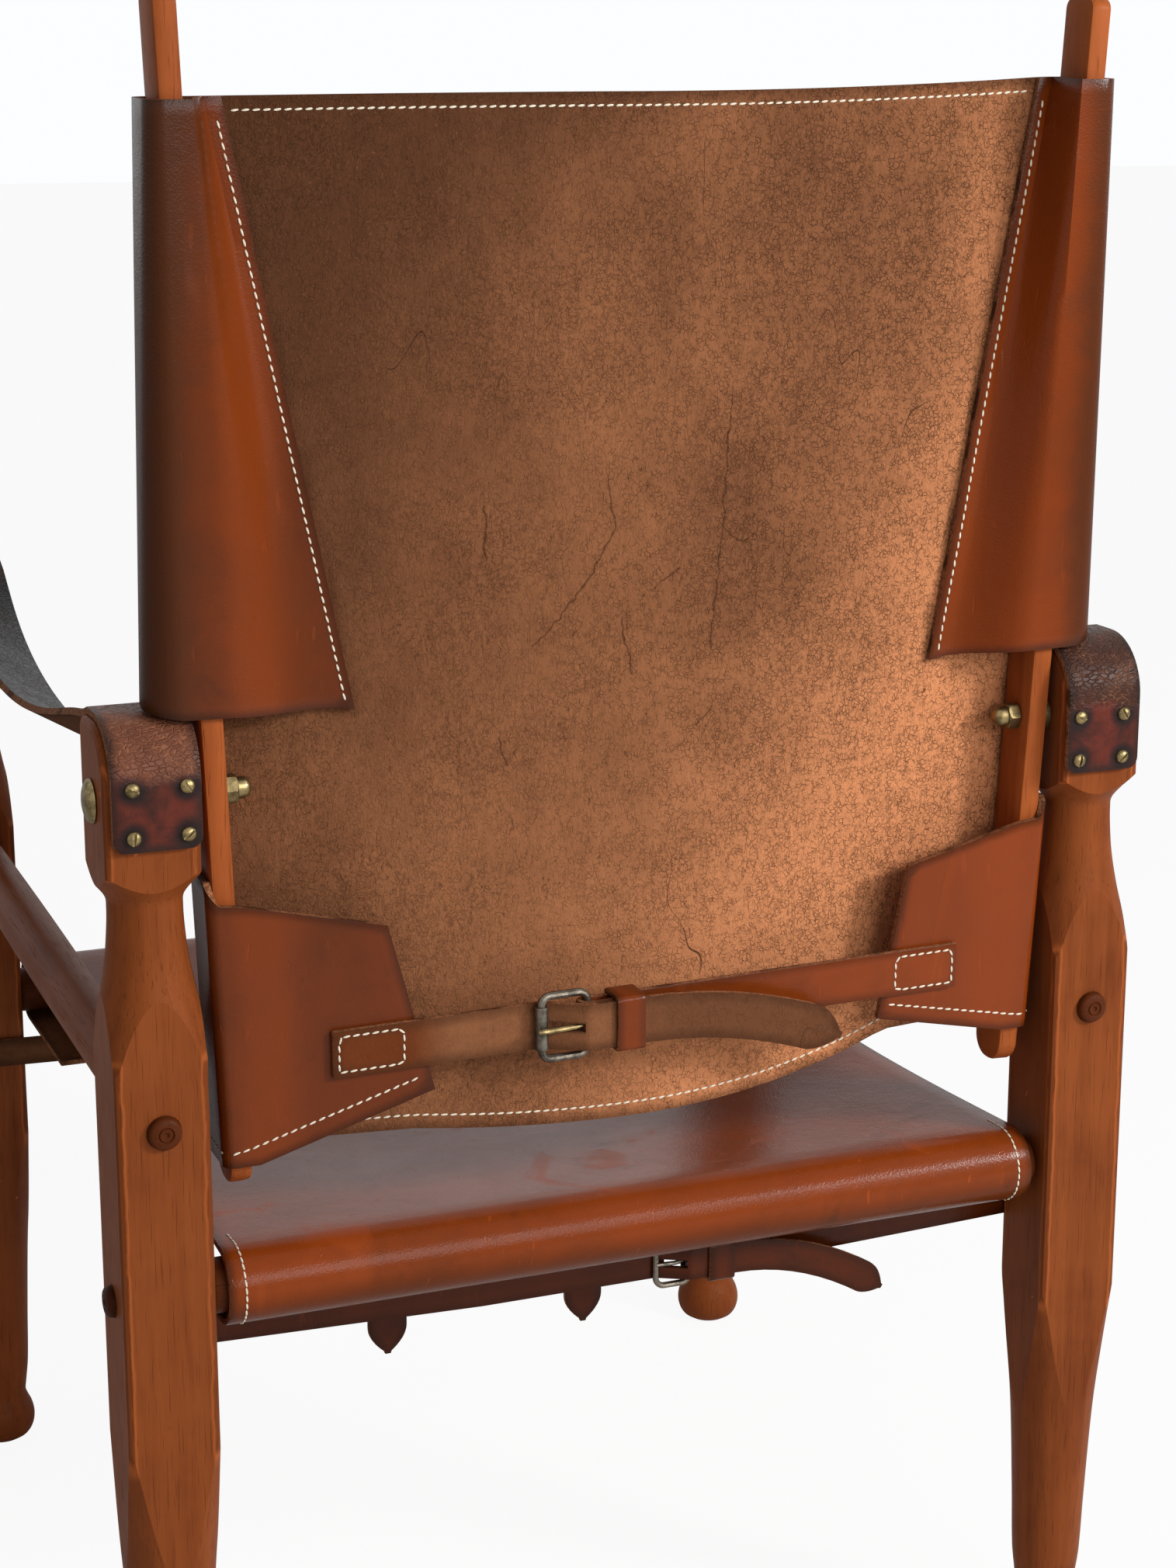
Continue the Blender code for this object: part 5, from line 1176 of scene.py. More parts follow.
class SlingShape:
    """Sizes of the back sling that its rows are worked out from."""

    def __init__(self):
        _, posts, leather = sizes()
        self.thickness = leather.thickness
        self.half_post = posts.thickness / 2
        self.offset = posts.depth / 2 + TENON_GAP + leather.thickness / 2 + TENON_GAP
        self.top = 0.328
        self.foot_front = 0.0455
        self.foot_back = 0.0395
        self.foot_seam = 0.0330
        self.notch_foot = -0.043
        self.flap_top = -0.073
        self.hem_centre = -0.198


class SlingHalf:
    """Edges that differ between the left and right halves of the worn sling."""

    def __init__(self, corner, seam_insets, flap_insets, foot_outer, foot_inner, hem_inset):
        self.corner = corner
        self.seam_insets = seam_insets
        self.flap_insets = flap_insets
        self.foot_outer = foot_outer
        self.foot_inner = foot_inner
        self.hem_reach = pivot_x() - hem_inset

    def top_z(self, shape, x):
        """Height of the top edge, which isn't quite level."""
        return lerp(shape.top, self.corner, min((x / pivot_x()) ** 2, 1))

    def hem_z(self, shape, x):
        """Height of the panel's curved lower edge."""
        return lerp(shape.hem_centre, self.foot_outer, min((x / self.hem_reach) ** 2, 1))


def sling_halves():
    """The left half and the right half."""
    left = SlingHalf(
        corner=0.3265, seam_insets=(0.029, 0.077), flap_insets=(0.089, 0.104),
        foot_outer=-0.191, foot_inner=-0.163, hem_inset=0.104)
    right = SlingHalf(
        corner=0.3340, seam_insets=(0.019, 0.059), flap_insets=(0.080, 0.090),
        foot_outer=-0.173, foot_inner=-0.157, hem_inset=0.076)
    return left, right


def panel_y(shape, x, z):
    """Middle surface of the panel: flat before the posts, bowed back between them, a little uneven."""
    edge = post_x(z) - shape.half_post - TENON_GAP
    down = (shape.top - z) / (shape.top - shape.hem_centre)
    bow = lerp(*PANEL_BOW, down)
    inside = max(1 - (x / edge) ** 2, 0)
    ripple = noise.noise((x * 9, 0.3, z * 7)) * 0.0014 + noise.noise((x * 30, 1.7, z * 22)) * 0.0004
    return bow * inside - shape.offset + ripple * min(inside * 3, 1)


def loop_section(shape, outer_x, corner, steps):
    """From the back of a loop round its outer side to its front, as (x, y)."""
    flat = shape.offset - corner
    centre_x = outer_x - corner
    back = arc_points((centre_x, flat), corner, math.pi / 2, 0, steps)
    front = arc_points((centre_x, -flat), corner, 0, -math.pi / 2, steps)
    return back + front


# Sleeves and flaps round a post: bend radii, how far the leather stands out, and where it leaves the post
SLEEVE_CORNER = 0.0075
SLEEVE_REACH = (0.0125, 0.0310)
FLAP_CORNER = 0.0045
BEHIND_POST = 0.003
PANEL_BOW = (0.006, 0.019)
NOTCH_INSET = 0.002
FLAP_SHOULDER = 0.58
FLAP_STEPS = 9
LOOP_STEPS = 8
FLAP_COLUMNS = FLAP_STEPS + 1 + 2 * (LOOP_STEPS + 1)
PANEL_STEPS = 22
UPPER_ROWS = 40
NOTCH_SHARES = (0.02, 0.16, 0.32, 0.48, 0.64, 0.82)
NOTCH_ROWS = 1 + len(NOTCH_SHARES)
LOWER_ROWS = 24
SEAM_WIDTH = 0.009


def upper_section(shape, half, z):
    """Sling at a sleeve: seam, flap and loop round the post."""
    down = (shape.top - z) / (shape.top - shape.foot_front)
    seam = post_x(z) - lerp(*half.seam_insets, down)
    sewn = seam + SEAM_WIDTH
    stack = shape.thickness + TENON_GAP
    seam_y = panel_y(shape, seam, z) + stack
    start_y = panel_y(shape, sewn, z) + stack
    inner = [(seam, seam_y), (seam + SEAM_WIDTH / 2, seam_y), (sewn, start_y)]
    behind_post = post_x(z) - shape.half_post - BEHIND_POST
    rest = FLAP_STEPS - 2
    for step in range(1, rest + 1):
        share = step / rest
        inner.append((lerp(sewn, behind_post, share), lerp(start_y, shape.offset, eased(share))))
    outer = post_x(z) + lerp(*SLEEVE_REACH, down) - shape.thickness / 2
    corner = lerp(SLEEVE_CORNER, shape.offset - TENON_GAP, down)
    return inner + loop_section(shape, outer, corner, LOOP_STEPS)


def lower_section(shape, half, z):
    """Sling at a lower flap, whose end hangs free behind the panel."""
    posts = bpy.context.scene.chair_posts
    share = (shape.flap_top - z) / (shape.flap_top - half.foot_inner)
    end = pivot_x() - lerp(*half.flap_insets, share)
    behind_post = post_x(z) - shape.half_post - BEHIND_POST
    outer = post_x(z) + shape.half_post / math.cos(posts.splay) + TENON_GAP + shape.thickness / 2
    flap = [(lerp(end, behind_post, step / FLAP_STEPS), shape.offset) for step in range(FLAP_STEPS + 1)]
    return flap + loop_section(shape, outer, FLAP_CORNER, LOOP_STEPS)


def panel_places(shape, front_x, z):
    """Distances from the middle of the panel's points, from beside the post inwards."""
    edge = min(post_x(z) - shape.half_post - TENON_GAP, front_x - TENON_GAP)
    return [edge * (1 - (step / PANEL_STEPS) ** 1.25) for step in range(PANEL_STEPS + 1)]


def sleeve_foot(shape, column):
    """Height of a sleeve's lower edge, which climbs from its seam round to its front."""
    if column < FLAP_STEPS:
        return lerp(shape.foot_seam, shape.foot_back, column / FLAP_STEPS)
    share = (column - FLAP_STEPS) / (LOOP_STEPS * 1.6)
    return lerp(shape.foot_back, shape.foot_front, min(share, 1))


def flap_rise(column):
    """How far a lower flap's top edge has climbed, from its free end round the post."""
    if column <= FLAP_STEPS:
        return FLAP_SHOULDER * column / FLAP_STEPS
    round_post = (column - FLAP_STEPS) / (LOOP_STEPS * 1.1)
    return min(lerp(FLAP_SHOULDER, 1, round_post), 1)


def upper_row(shape, half, down):
    """A row through a sleeve."""
    front_z = lerp(shape.top, shape.foot_front, down)
    section = upper_section(shape, half, front_z)
    points = []
    for column, (x, y) in enumerate(section):
        points.append((x, y, lerp(half.top_z(shape, x), sleeve_foot(shape, column), down)))
    for x in panel_places(shape, section[-1][0], front_z):
        z = lerp(half.top_z(shape, x), shape.foot_front, down)
        points.append((x, panel_y(shape, x, z), z))
    return points


def notch_row(shape, down):
    """A row beside the cut-out that clears the leg head and the bolt."""
    z = lerp(shape.foot_front, shape.notch_foot, down)
    edge = post_x(z) - NOTCH_INSET
    points = [(edge, -shape.offset, z)] * FLAP_COLUMNS
    return points + [(x, panel_y(shape, x, z), z) for x in panel_places(shape, edge, z)]


def lower_row(shape, half, down):
    """A row through a lower flap, whose top and foot slope towards its free end."""
    front_z = lerp(shape.notch_foot, half.foot_outer, down)
    section = lower_section(shape, half, front_z)
    points = []
    for column, (x, y) in enumerate(section):
        top = lerp(shape.flap_top, shape.notch_foot, flap_rise(column))
        foot = lerp(half.foot_inner, half.foot_outer, min(column / FLAP_STEPS, 1))
        points.append((x, y, lerp(top, foot, down)))
    for x in panel_places(shape, section[-1][0], front_z):
        z = lerp(shape.notch_foot, half.hem_z(shape, x), down)
        points.append((x, panel_y(shape, x, z), z))
    return points


def sling_row(shape, half, row):
    """Points of one half of the sling along one row, seam to middle."""
    if row <= UPPER_ROWS:
        return upper_row(shape, half, row / UPPER_ROWS)
    if row < UPPER_ROWS + NOTCH_ROWS:
        return notch_row(shape, NOTCH_SHARES[row - UPPER_ROWS - 1])
    return lower_row(shape, half, (row - UPPER_ROWS - NOTCH_ROWS) / LOWER_ROWS)


def make_back_sling():
    """One leather sheet: sleeves above, a notch at the pivots, belted flaps below."""
    shape = SlingShape()
    left_half, right_half = sling_halves()
    rows = []
    for row in range(UPPER_ROWS + NOTCH_ROWS + LOWER_ROWS + 1):
        left = [Vector(point) for point in sling_row(shape, left_half, row)]
        right = [Vector((-x, y, z)) for x, y, z in reversed(sling_row(shape, right_half, row)[:-1])]
        rows.append(left + right)
    last = len(rows[0]) - 2

    def keep(row, column):
        in_notch = UPPER_ROWS <= row < UPPER_ROWS + NOTCH_ROWS
        return not (in_notch and min(column, last - column) < FLAP_COLUMNS - 1)

    obj = sheet(rows, shape.thickness, back_place(), ("grain", "flesh", "edge"), keep)
    return stand_for(shade(obj), "back_sling")


# Seat sling


# Seat: gap to the legs, slack round a rail, tails below, sag at the middle and at a side, waist
SEAT_SIDE_GAP = 0.0075
SEAT_SLACK = 0.0007
SEAT_TAIL_BACK = 0.055
SEAT_TAIL_FRONT = 0.100
SEAT_SAG = (0.022, 0.010)
SEAT_WAIST = 0.008
SEAT_COLUMNS = 36


def seat_half():
    """Half of the seat's width where it rolls round a rail."""
    legs = bpy.context.scene.chair_legs
    return legs.spacing_x / 2 - legs.side / 2 - SEAT_SIDE_GAP


def seat_levels():
    """Heights of the back and front seat rails, and the radius of the leather's middle round them."""
    legs, _, leather = sizes()
    roll = SEAT_RAIL[0] + SEAT_SLACK + leather.thickness / 2
    return legs.height - legs.seat_rail_back, legs.height - legs.seat_rail_front, roll


def seat_route():
    """Side view of the seat: under, round and over each rail, with its share of the sag."""
    legs = bpy.context.scene.chair_legs
    back_z, front_z, roll = seat_levels()
    reach = legs.spacing_y / 2
    route = [(reach - SEAT_TAIL_BACK * (1 - step / 8), back_z - roll, 0) for step in range(8)]
    for y, z in arc_points((reach, back_z), roll, -math.pi / 2, math.pi / 2, 20):
        route.append((y, z, 0))
    for step in range(1, 40):
        share = step / 40
        level = lerp(back_z, front_z, share) + roll
        route.append((lerp(reach, -reach, share), level, math.sin(math.pi * share)))
    for y, z in arc_points((-reach, front_z), roll, math.pi / 2, 3 * math.pi / 2, 20):
        route.append((y, z, 0))
    return route + [(SEAT_TAIL_FRONT * step / 12 - reach, front_z - roll, 0) for step in range(1, 13)]


def make_seat_sling():
    """Seat rolled round both rails, sagging between them and waisted at its sides."""
    leather = bpy.context.scene.chair_leather
    half = seat_half()
    rows = []
    for y, z, sag in seat_route():
        row = []
        for column in range(SEAT_COLUMNS + 1):
            share = 1 - 2 * column / SEAT_COLUMNS
            drop = lerp(*SEAT_SAG, share ** 2) * sag
            x = (half - SEAT_WAIST * sag) * share
            ripple = noise.noise((x * 12, y * 9, 4.1)) * 0.0022 * sag
            row.append(Vector((x, y, z - drop + ripple)))
        rows.append(row)
    obj = sheet(rows, leather.thickness, Matrix.Identity(4), ("seat_grain", "flesh", "edge"))
    return stand_for(shade(obj), "seat_sling")


# Arm straps


ARM_CORNER = 0.006
ARM_OFFSET = 0.0015
ARM_LEVEL_INSET = 0.004
ARM_TAIL_STEPS = 5
ARM_CORNER_SHARES = (0.8, 0.6, 0.42, 0.27, 0.15, 0.06, 0.0)


def arm_route(end_z):
    """Side view of an arm strap from its middle, over the rear head and down the back."""
    legs, _, leather = sizes()
    lift = TENON_GAP + leather.arm_thickness / 2
    reach = legs.spacing_y / 2 - legs.side / 2 + legs.crown_inner
    dip = math.atan(2 * leather.arm_sag / reach)
    bend = legs.crown_inner + lift
    start = Vector((reach - bend * math.sin(dip), legs.height - legs.crown_inner + bend * math.cos(dip)))
    hang = []
    for step in range(25):
        y = start.x * step / 24
        drop = math.tan(dip) * (start.x ** 2 - y ** 2) / (2 * start.x)
        hang.append((y, start.y - drop))
    inner = arc_points((reach, legs.height - legs.crown_inner), bend, math.pi / 2 + dip, math.pi / 2, 6)
    crown = legs.spacing_y / 2 + legs.side / 2 - legs.crown_outer
    outer = arc_points((crown, legs.height - legs.crown_outer), legs.crown_outer + lift, math.pi / 2, 0, 14)
    route = hang + inner[1:] + outer
    tail_y, tail_z = outer[-1]
    step_down = (tail_z - end_z - ARM_CORNER) / ARM_TAIL_STEPS
    route += [(tail_y, tail_z - step_down * step) for step in range(1, ARM_TAIL_STEPS + 1)]
    return route + [(tail_y, end_z + ARM_CORNER * share) for share in ARM_CORNER_SHARES]


def make_arm(node, side, end_drop):
    """Leather arm over both heads, rolled inwards in its middle."""
    legs, _, leather = sizes()
    level_from = legs.spacing_y / 2 - legs.side / 2 - ARM_LEVEL_INSET

    def twist(y):
        return -side * leather.arm_twist * (1 - min(abs(y) / level_from, 1) ** 5)

    half = [(y, z, 0) for y, z in arm_route(legs.height - end_drop)]
    route = [(-y, z, w) for y, z, w in reversed(half)] + half[1:]
    place = Matrix.Translation((side * (legs.spacing_x / 2 - ARM_OFFSET), 0, 0)) @ upright()
    names = ("arm", "strap_flesh", "edge")
    obj = strap(route, leather.arm_width, leather.arm_thickness, place, names, corner=ARM_CORNER, twist=twist)
    return stand_for(shade(obj), node)


# Buckled straps, in a frame with X along the strap, Y out of its face and the buckle's bar at 0


class BuckleSize:
    """Sizes shared by a strap pair and its buckle."""

    def __init__(self, width, thickness, wire, buckle_length, side_room, roller=0):
        self.width = width
        self.thickness = thickness
        self.wire = wire
        self.length = buckle_length
        self.half_height = width / 2 + side_room
        self.roller = roller
        self.front_bar = roller if roller else wire
        self.under = self.front_bar + TENON_GAP + thickness / 2
        self.fold = wire + TENON_GAP + thickness / 2
        self.over = self.fold + thickness + TENON_GAP


BUCKLE_CORNER = 0.005
PRONG_RADIUS = 0.0015
PRONG_END = ((0.0015, 0.2), (0.003, 0.5))
SLOT_WIDTH = 0.0044
SLOT_OVERRUN = 0.004
KEEPER_THICKNESS = 0.0022
KEEPER_ROUNDING = 0.0022
STRAP_SPACING = 0.006


def buckle_frame(size, place):
    """Rounded wire frame: heel bar at 0, front bar one buckle length before it."""
    corner = BUCKLE_CORNER
    inner_low = corner - size.length
    half = size.half_height - corner
    points = arc_points((-corner, half), corner, 0, math.pi / 2, 7)
    points += arc_points((inner_low, half), corner, math.pi / 2, math.pi, 7)
    points += arc_points((inner_low, -half), corner, math.pi, 3 * math.pi / 2, 7)
    points += arc_points((-corner, -half), corner, 3 * math.pi / 2, 2 * math.pi, 7)
    return swept([(x, 0, z) for x, z in points], size.wire, place, cyclic=True)


def prong_route(size, radius):
    """Prong from its eye round the heel bar to a tip that rests on the front bar."""
    eye = size.wire + TENON_GAP + radius
    rest = size.front_bar + TENON_GAP + radius
    route = [(x, y, 0) for x, y in arc_points((0, 0), eye, -math.pi * 0.75, math.pi / 2, 14)]
    for share in (0.25, 0.5, 0.75, 1):
        route.append((-size.length * share, lerp(eye, rest, eased(share)), 0))
    return route + [(-size.length - past, rest - radius * share, 0) for past, share in PRONG_END]


def make_small_buckle(node, size, place):
    """Small buckle whose prong is one with its frame."""
    obj = buckle_frame(size, place)
    route = [(0, 0, 0), (-size.length / 2, size.wire * 1.2, 0), (-size.length, size.wire * 0.6, 0)]
    cut(obj, swept(route, size.wire * 0.7, place), "UNION")
    return stand_for(shade(obj, "iron"), node)


def buckle_strap(node, size, place, far_route, fold, names):
    """Strap from its sewn end, round the heel bar and back over itself, slotted for the prong."""
    level = far_route[-1][2]
    route = filled(far_route, STRAP_SPACING)
    arc = arc_points((0, 0), size.fold, -math.pi / 2, -3 * math.pi / 2, 14)
    route += filled([(x, y, level) for x, y in arc] + [(fold, size.fold, level)], STRAP_SPACING)
    obj = strap(route, size.width, size.thickness, place, (names[1], names[0], names[2]))
    reach = size.fold + size.thickness
    corner_low = (-reach - SLOT_OVERRUN, -reach, level - SLOT_WIDTH / 2)
    box_cut(obj, corner_low, (reach + PRONG_RADIUS, reach, level + SLOT_WIDTH / 2), place)
    return stand_for(shade(obj), node)


def billet(node, size, place, near_route, free_route, tip, names):
    """Strap with the free end: under the front bar, over the fold, on to its tip."""
    level = near_route[-1][2]
    climb = math.asin((size.under + size.over) / size.length)
    down = -math.pi / 2
    crossing = arc_points((-size.length, 0), size.under, down, down + climb, 8)
    crossing += arc_points((0, 0), size.over, climb - down, -down, 8)
    route = filled(near_route, STRAP_SPACING) + [(x, y, level) for x, y in crossing]
    route += filled([route[-1]] + list(free_route), STRAP_SPACING / 2)[1:]
    obj = strap(fine_tip(route, tip), size.width, size.thickness, place, names, tip=tip)
    slot_start = size.under + size.thickness / 2 - size.length
    corner_low = (slot_start, -size.under, level - SLOT_WIDTH / 2)
    box_cut(obj, corner_low, (-SLOT_OVERRUN, size.over + size.thickness, level + SLOT_WIDTH / 2), place)
    return stand_for(shade(obj), node)


def make_keeper(node, size, place, near, width, level=0, leather="belt_grain"):
    """Leather loop round the fold, the strap and the free end."""
    inset = KEEPER_THICKNESS / 2 - KEEPER_ROUNDING
    floor_y = -size.fold - size.thickness / 2 - TENON_GAP - inset
    roof_y = size.over + size.thickness / 2 + TENON_GAP + inset
    half = size.width / 2 + TENON_GAP + inset
    loop = []
    for quarter, (y, z) in enumerate(((roof_y, half), (floor_y, half), (floor_y, -half), (roof_y, -half))):
        start = math.pi / 2 * (1 - quarter)
        for arc_z, arc_y in arc_points((z, y), KEEPER_ROUNDING, start, start - math.pi / 2, 5):
            loop.append((arc_y, arc_z))
    loop = loop_order(loop)
    rows = [[Vector((near + width * step / 4, y, level + z)) for y, z in loop] for step in range(5)]
    obj = sheet(rows, KEEPER_THICKNESS, place, (leather, "strap_flesh", "edge"))
    return stand_for(shade(obj), node)


def loop_order(points):
    """Points of a closed loop by their angle, with the first repeated at the end."""
    middle_y = sum(y for y, _ in points) / len(points)
    middle_z = sum(z for _, z in points) / len(points)
    ordered = sorted(points, key=lambda point: math.atan2(point[1] - middle_z, point[0] - middle_y))
    return ordered + [ordered[0]]


def drooping(start, reach, out, level, drop):
    """Route of a free end: level through its keeper, then falling towards its tip."""
    return [(lerp(start, reach, step / 10), out, level + drop * (step / 10) ** 2) for step in range(11)]


# Belt: its two straps' ends before the pivots, the keeper's place, and the roller's eased edge
BELT_SIZES = (0.0032, 0.0021, 0.025, 0.0045, 0.0035)
BELT_HEIGHT = -0.1345
BELT_BAR = 0.0375
BELT_TILT = math.radians(1)
BILLET_INSETS = (0.054, 0.104)
BUCKLE_INSETS = (0.047, 0.090)
BELT_FOLD = 0.030
BELT_DROOP = 0.025
BELT_TIP = 0.020
BELT_KEEPER = (0.0125, 0.0155)
ROLLER_EASE = 0.0005


def make_belt():
    """Belt that draws the lower flaps together behind the panel."""
    shape = SlingShape()
    size = BuckleSize(bpy.context.scene.chair_leather.belt_width, *BELT_SIZES)
    face = shape.offset + shape.thickness / 2 + TENON_GAP + size.thickness / 2
    along = (-math.cos(BELT_TILT), 0, math.sin(BELT_TILT))
    place = back_place() @ frame_matrix((BELT_BAR, face + size.under, BELT_HEIGHT), along, (0, 1, 0))
    near = [(BELT_BAR - pivot_x() + inset, -size.under, 0) for inset in BILLET_INSETS]
    reach = BELT_BAR + BILLET_INSETS[1]
    free = drooping(sum(BELT_KEEPER) + KEEPER_THICKNESS, reach, size.over, 0, BELT_DROOP)
    billet("belt_billet", size, place, near, free, BELT_TIP, ("belt_flesh", "belt_grain", "edge"))
    far = [(BELT_BAR + pivot_x() - inset, -size.under, 0) for inset in BUCKLE_INSETS]
    far.append((BELT_FOLD, -size.fold, 0))
    buckle_strap("belt_buckle_strap", size, place, far, BELT_FOLD, ("belt_grain", "belt_flesh", "edge"))
    stand_for(shade(buckle_frame(size, place), "iron"), "belt_buckle_frame")
    stand_for(shade(swept(prong_route(size, PRONG_RADIUS), PRONG_RADIUS, place), "brass"), "belt_prong")
    half = size.half_height - BUCKLE_CORNER - TENON_GAP
    point = place @ Vector((-size.length, 0, 0))
    axis = place.to_3x3() @ Vector((0, 0, 1))
    rim = size.roller - ROLLER_EASE
    round_half = half - ROLLER_EASE
    profile = [(-half, rim), (-round_half, size.roller), (round_half, size.roller), (half, rim)]
    roller = turned(profile, axis_matrix(point, axis), 32)
    drill(roller, point, axis, size.wire + TENON_GAP, half * 3)
    stand_for(shade(roller, "iron"), "belt_roller")
    make_keeper("belt_keeper", size, place, *BELT_KEEPER)


# Straps below the seat: each one's place as a share of the seat's half width, and how far its end hangs
SEAT_STRAPS = ((0.515, 1.0), (0.013, 1.0), (-0.576, 0.73))
SEAT_STRAP_SIZES = (0.022, 0.0028, 0.0017, 0.020, 0.0040)
SEAT_STRAP_START = -0.205
SEAT_STRAP_BAR = 0.150
SEAT_STRAP_END = 0.222
SEAT_STRAP_FOLD = 0.024
SEAT_STRAP_BEND = 0.012
SEAT_STRAP_HANG = 0.062
SEAT_STRAP_TIP = 0.016


def make_seat_straps():
    """Three front-to-back straps that tension the seat from below."""
    legs, _, leather = sizes()
    back_z, front_z, roll = seat_levels()
    size = BuckleSize(*SEAT_STRAP_SIZES)
    lift = roll + leather.thickness / 2 + TENON_GAP + size.thickness / 2
    bar_y = SEAT_STRAP_BAR
    bar_z = back_z - lift - size.under
    front_out = bar_z - (front_z - lift)
    tail_end = SEAT_TAIL_FRONT - legs.spacing_y / 2
    near = [(y - bar_y, front_out, 0) for y in (SEAT_STRAP_START, tail_end)]
    near.append((-2 * size.length, -size.under, 0))
    far = [(SEAT_STRAP_END - bar_y, -size.under, 0), (2 * size.length, -size.under, 0)]
    far.append((SEAT_STRAP_FOLD, -size.fold, 0))
    bend = SEAT_STRAP_BEND
    turn_down = arc_points((bend / 2, size.over + bend), bend, -math.pi / 2, 0, 10)
    names = ("strap_flesh", "strap_grain", "edge")
    for number, (share, hang_share) in enumerate(SEAT_STRAPS, start=1):
        place = frame_matrix((seat_half() * share, bar_y, bar_z), (0, 1, 0), (0, 0, -1))
        free = [(x, y, 0) for x, y in turn_down] + [(bend * 1.5, SEAT_STRAP_HANG * hang_share, 0)]
        billet(f"seat_strap_billet_{number}", size, place, near, free, SEAT_STRAP_TIP, names)
        buckle_strap(f"seat_strap_buckle_end_{number}", size, place, far, SEAT_STRAP_FOLD, names)
        make_small_buckle(f"seat_strap_buckle_{number}", size, place)


CROSS_SIZES = (0.018, 0.0028, 0.0017, 0.020, 0.0040)
CROSS_BAR = 0.040
CROSS_DROP = 0.032
CROSS_SAG = 0.006
CROSS_INSET = 0.005
CROSS_LAP = 0.052
CROSS_FOLD = 0.026
CROSS_REACH = 0.115
CROSS_DROOP = 0.032
CROSS_TIP = 0.014
CROSS_KEEPER = (0.008, 0.015)


def make_cross_straps():
    """Two side-to-side straps under the seat rails."""
    legs = bpy.context.scene.chair_legs
    back_z, front_z, _ = seat_levels()
    names = ("strap_grain", "strap_flesh", "edge")
    size = BuckleSize(*CROSS_SIZES)
    face = legs.spacing_y / 2 - legs.side / 2 - TENON_GAP - size.thickness / 2
    level = CROSS_SAG * (1 - (CROSS_BAR * 2 / legs.spacing_x) ** 2)
    end = legs.spacing_x / 2 + legs.side / 2 - CROSS_INSET
    near = cross_run(-end, -CROSS_BAR - 2 * size.length, -size.under, level)
    free = drooping(sum(CROSS_KEEPER) + KEEPER_THICKNESS, CROSS_REACH, size.over, level, CROSS_DROOP)
    far = cross_run(end, CROSS_BAR + CROSS_LAP, -size.under, level) + [(CROSS_FOLD, -size.fold, level)]
    for word, side, rail_z in (("front", -1, front_z), ("back", 1, back_z)):
        origin = (-side * CROSS_BAR, side * (face + size.under), rail_z - CROSS_DROP)
        place = frame_matrix(origin, (-side, 0, 0), (0, side, 0))
        billet(f"{word}_cross_strap_billet", size, place, near, free, CROSS_TIP, names)
        buckle_strap(f"{word}_cross_strap_buckle_end", size, place, far, CROSS_FOLD, names)
        make_small_buckle(f"{word}_cross_strap_buckle", size, place @ Matrix.Translation((0, 0, level)))
        make_keeper(f"{word}_cross_strap_keeper", size, place, *CROSS_KEEPER, level, "strap_grain")


def cross_run(start_x, end_x, out, level):
    """Sagging run of a side-to-side strap, from its leg towards the buckle's bar."""
    return [(lerp(start_x, end_x, step / 8) - CROSS_BAR, out, lerp(0, level, step / 8)) for step in range(9)]


# Stitches


def stitches(name, body, surface, guide, aim=None):
    """Thread along a guide line, laid on the nearest side of a piece, or on the side that it is aimed at."""
    leather = bpy.context.scene.chair_leather
    sewn = bpy.data.objects[surface].data
    corners = [vert.co for vert in sewn.vertices]
    tree = BVHTree.FromPolygons(corners, [face.vertices for face in sewn.polygons])
    stitch = add("uv_sphere", segments=8, ring_count=6, radius=1)
    pitch = leather.stitch_pitch
    stitch.data.transform(Matrix.Diagonal((pitch * 0.40, leather.thread * 0.62, leather.thread * 0.5, 1)))
    points = evenly(guide, pitch)
    bm = bmesh.new()
    for index, (start, end) in enumerate(zip(points, points[1:])):
        middle = (start + end) / 2
        spot, normal, _, _ = tree.ray_cast(middle, aim) if aim else tree.find_nearest(middle)
        along = (end - start).normalized()
        along = (along - normal * along.dot(normal)).normalized()
        flat = Matrix((along, normal.cross(along), normal)).transposed().to_4x4()
        slant = Matrix.Rotation(math.radians(7) + 0.06 * noise.noise((index * 1.7, 0, 0)), 4, "Z")
        copy = stitch.data.copy()
        copy.transform(Matrix.Translation(spot + normal * leather.thread * 0.15) @ flat @ slant)
        bm.from_mesh(copy)
        bpy.data.meshes.remove(copy)
    bm.to_mesh(stitch.data)
    bm.free()
    stitch.name = name
    stitch.data.name = name
    shade(stitch, "thread")
    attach(stitch, body)
    return stitch


def evenly(guide, pitch):
    """Points a pitch apart along a line."""
    line = [Vector(point) for point in guide]
    run = distances(line)
    count = max(2, round(run[-1] / pitch))
    return [point_at(line, run, run[-1] * step / count) for step in range(count + 1)]


def sew_back(name, points, side_y, surface="fine_back_sling"):
    """Thread through (x, z) points in the backrest's frame, from behind it or from before it."""
    place = back_place()
    aim = place.to_3x3() @ Vector((0, -1 if side_y > 0 else 1, 0))
    stitches(name, "backrest", surface, [place @ Vector((x, side_y, z)) for x, z in points], aim)


SEAM_INSET = 0.0042
HEM_RISE = 0.0075
HEM_INSET = 0.012
TOP_HEM_DROP = 0.0065
SEAM_SPAN = (0.035, 0.985)
FLAP_HEM_INSETS = (0.004, 0.002)
SIDE_MARGIN = 0.001

# Where guide lines lie, off the sling: the first surface on their way to it takes the thread
FAR_BEHIND = 0.08
FAR_BEFORE = -0.08
BESIDE_POST = 0.05
PANEL_BEHIND = 0.0095


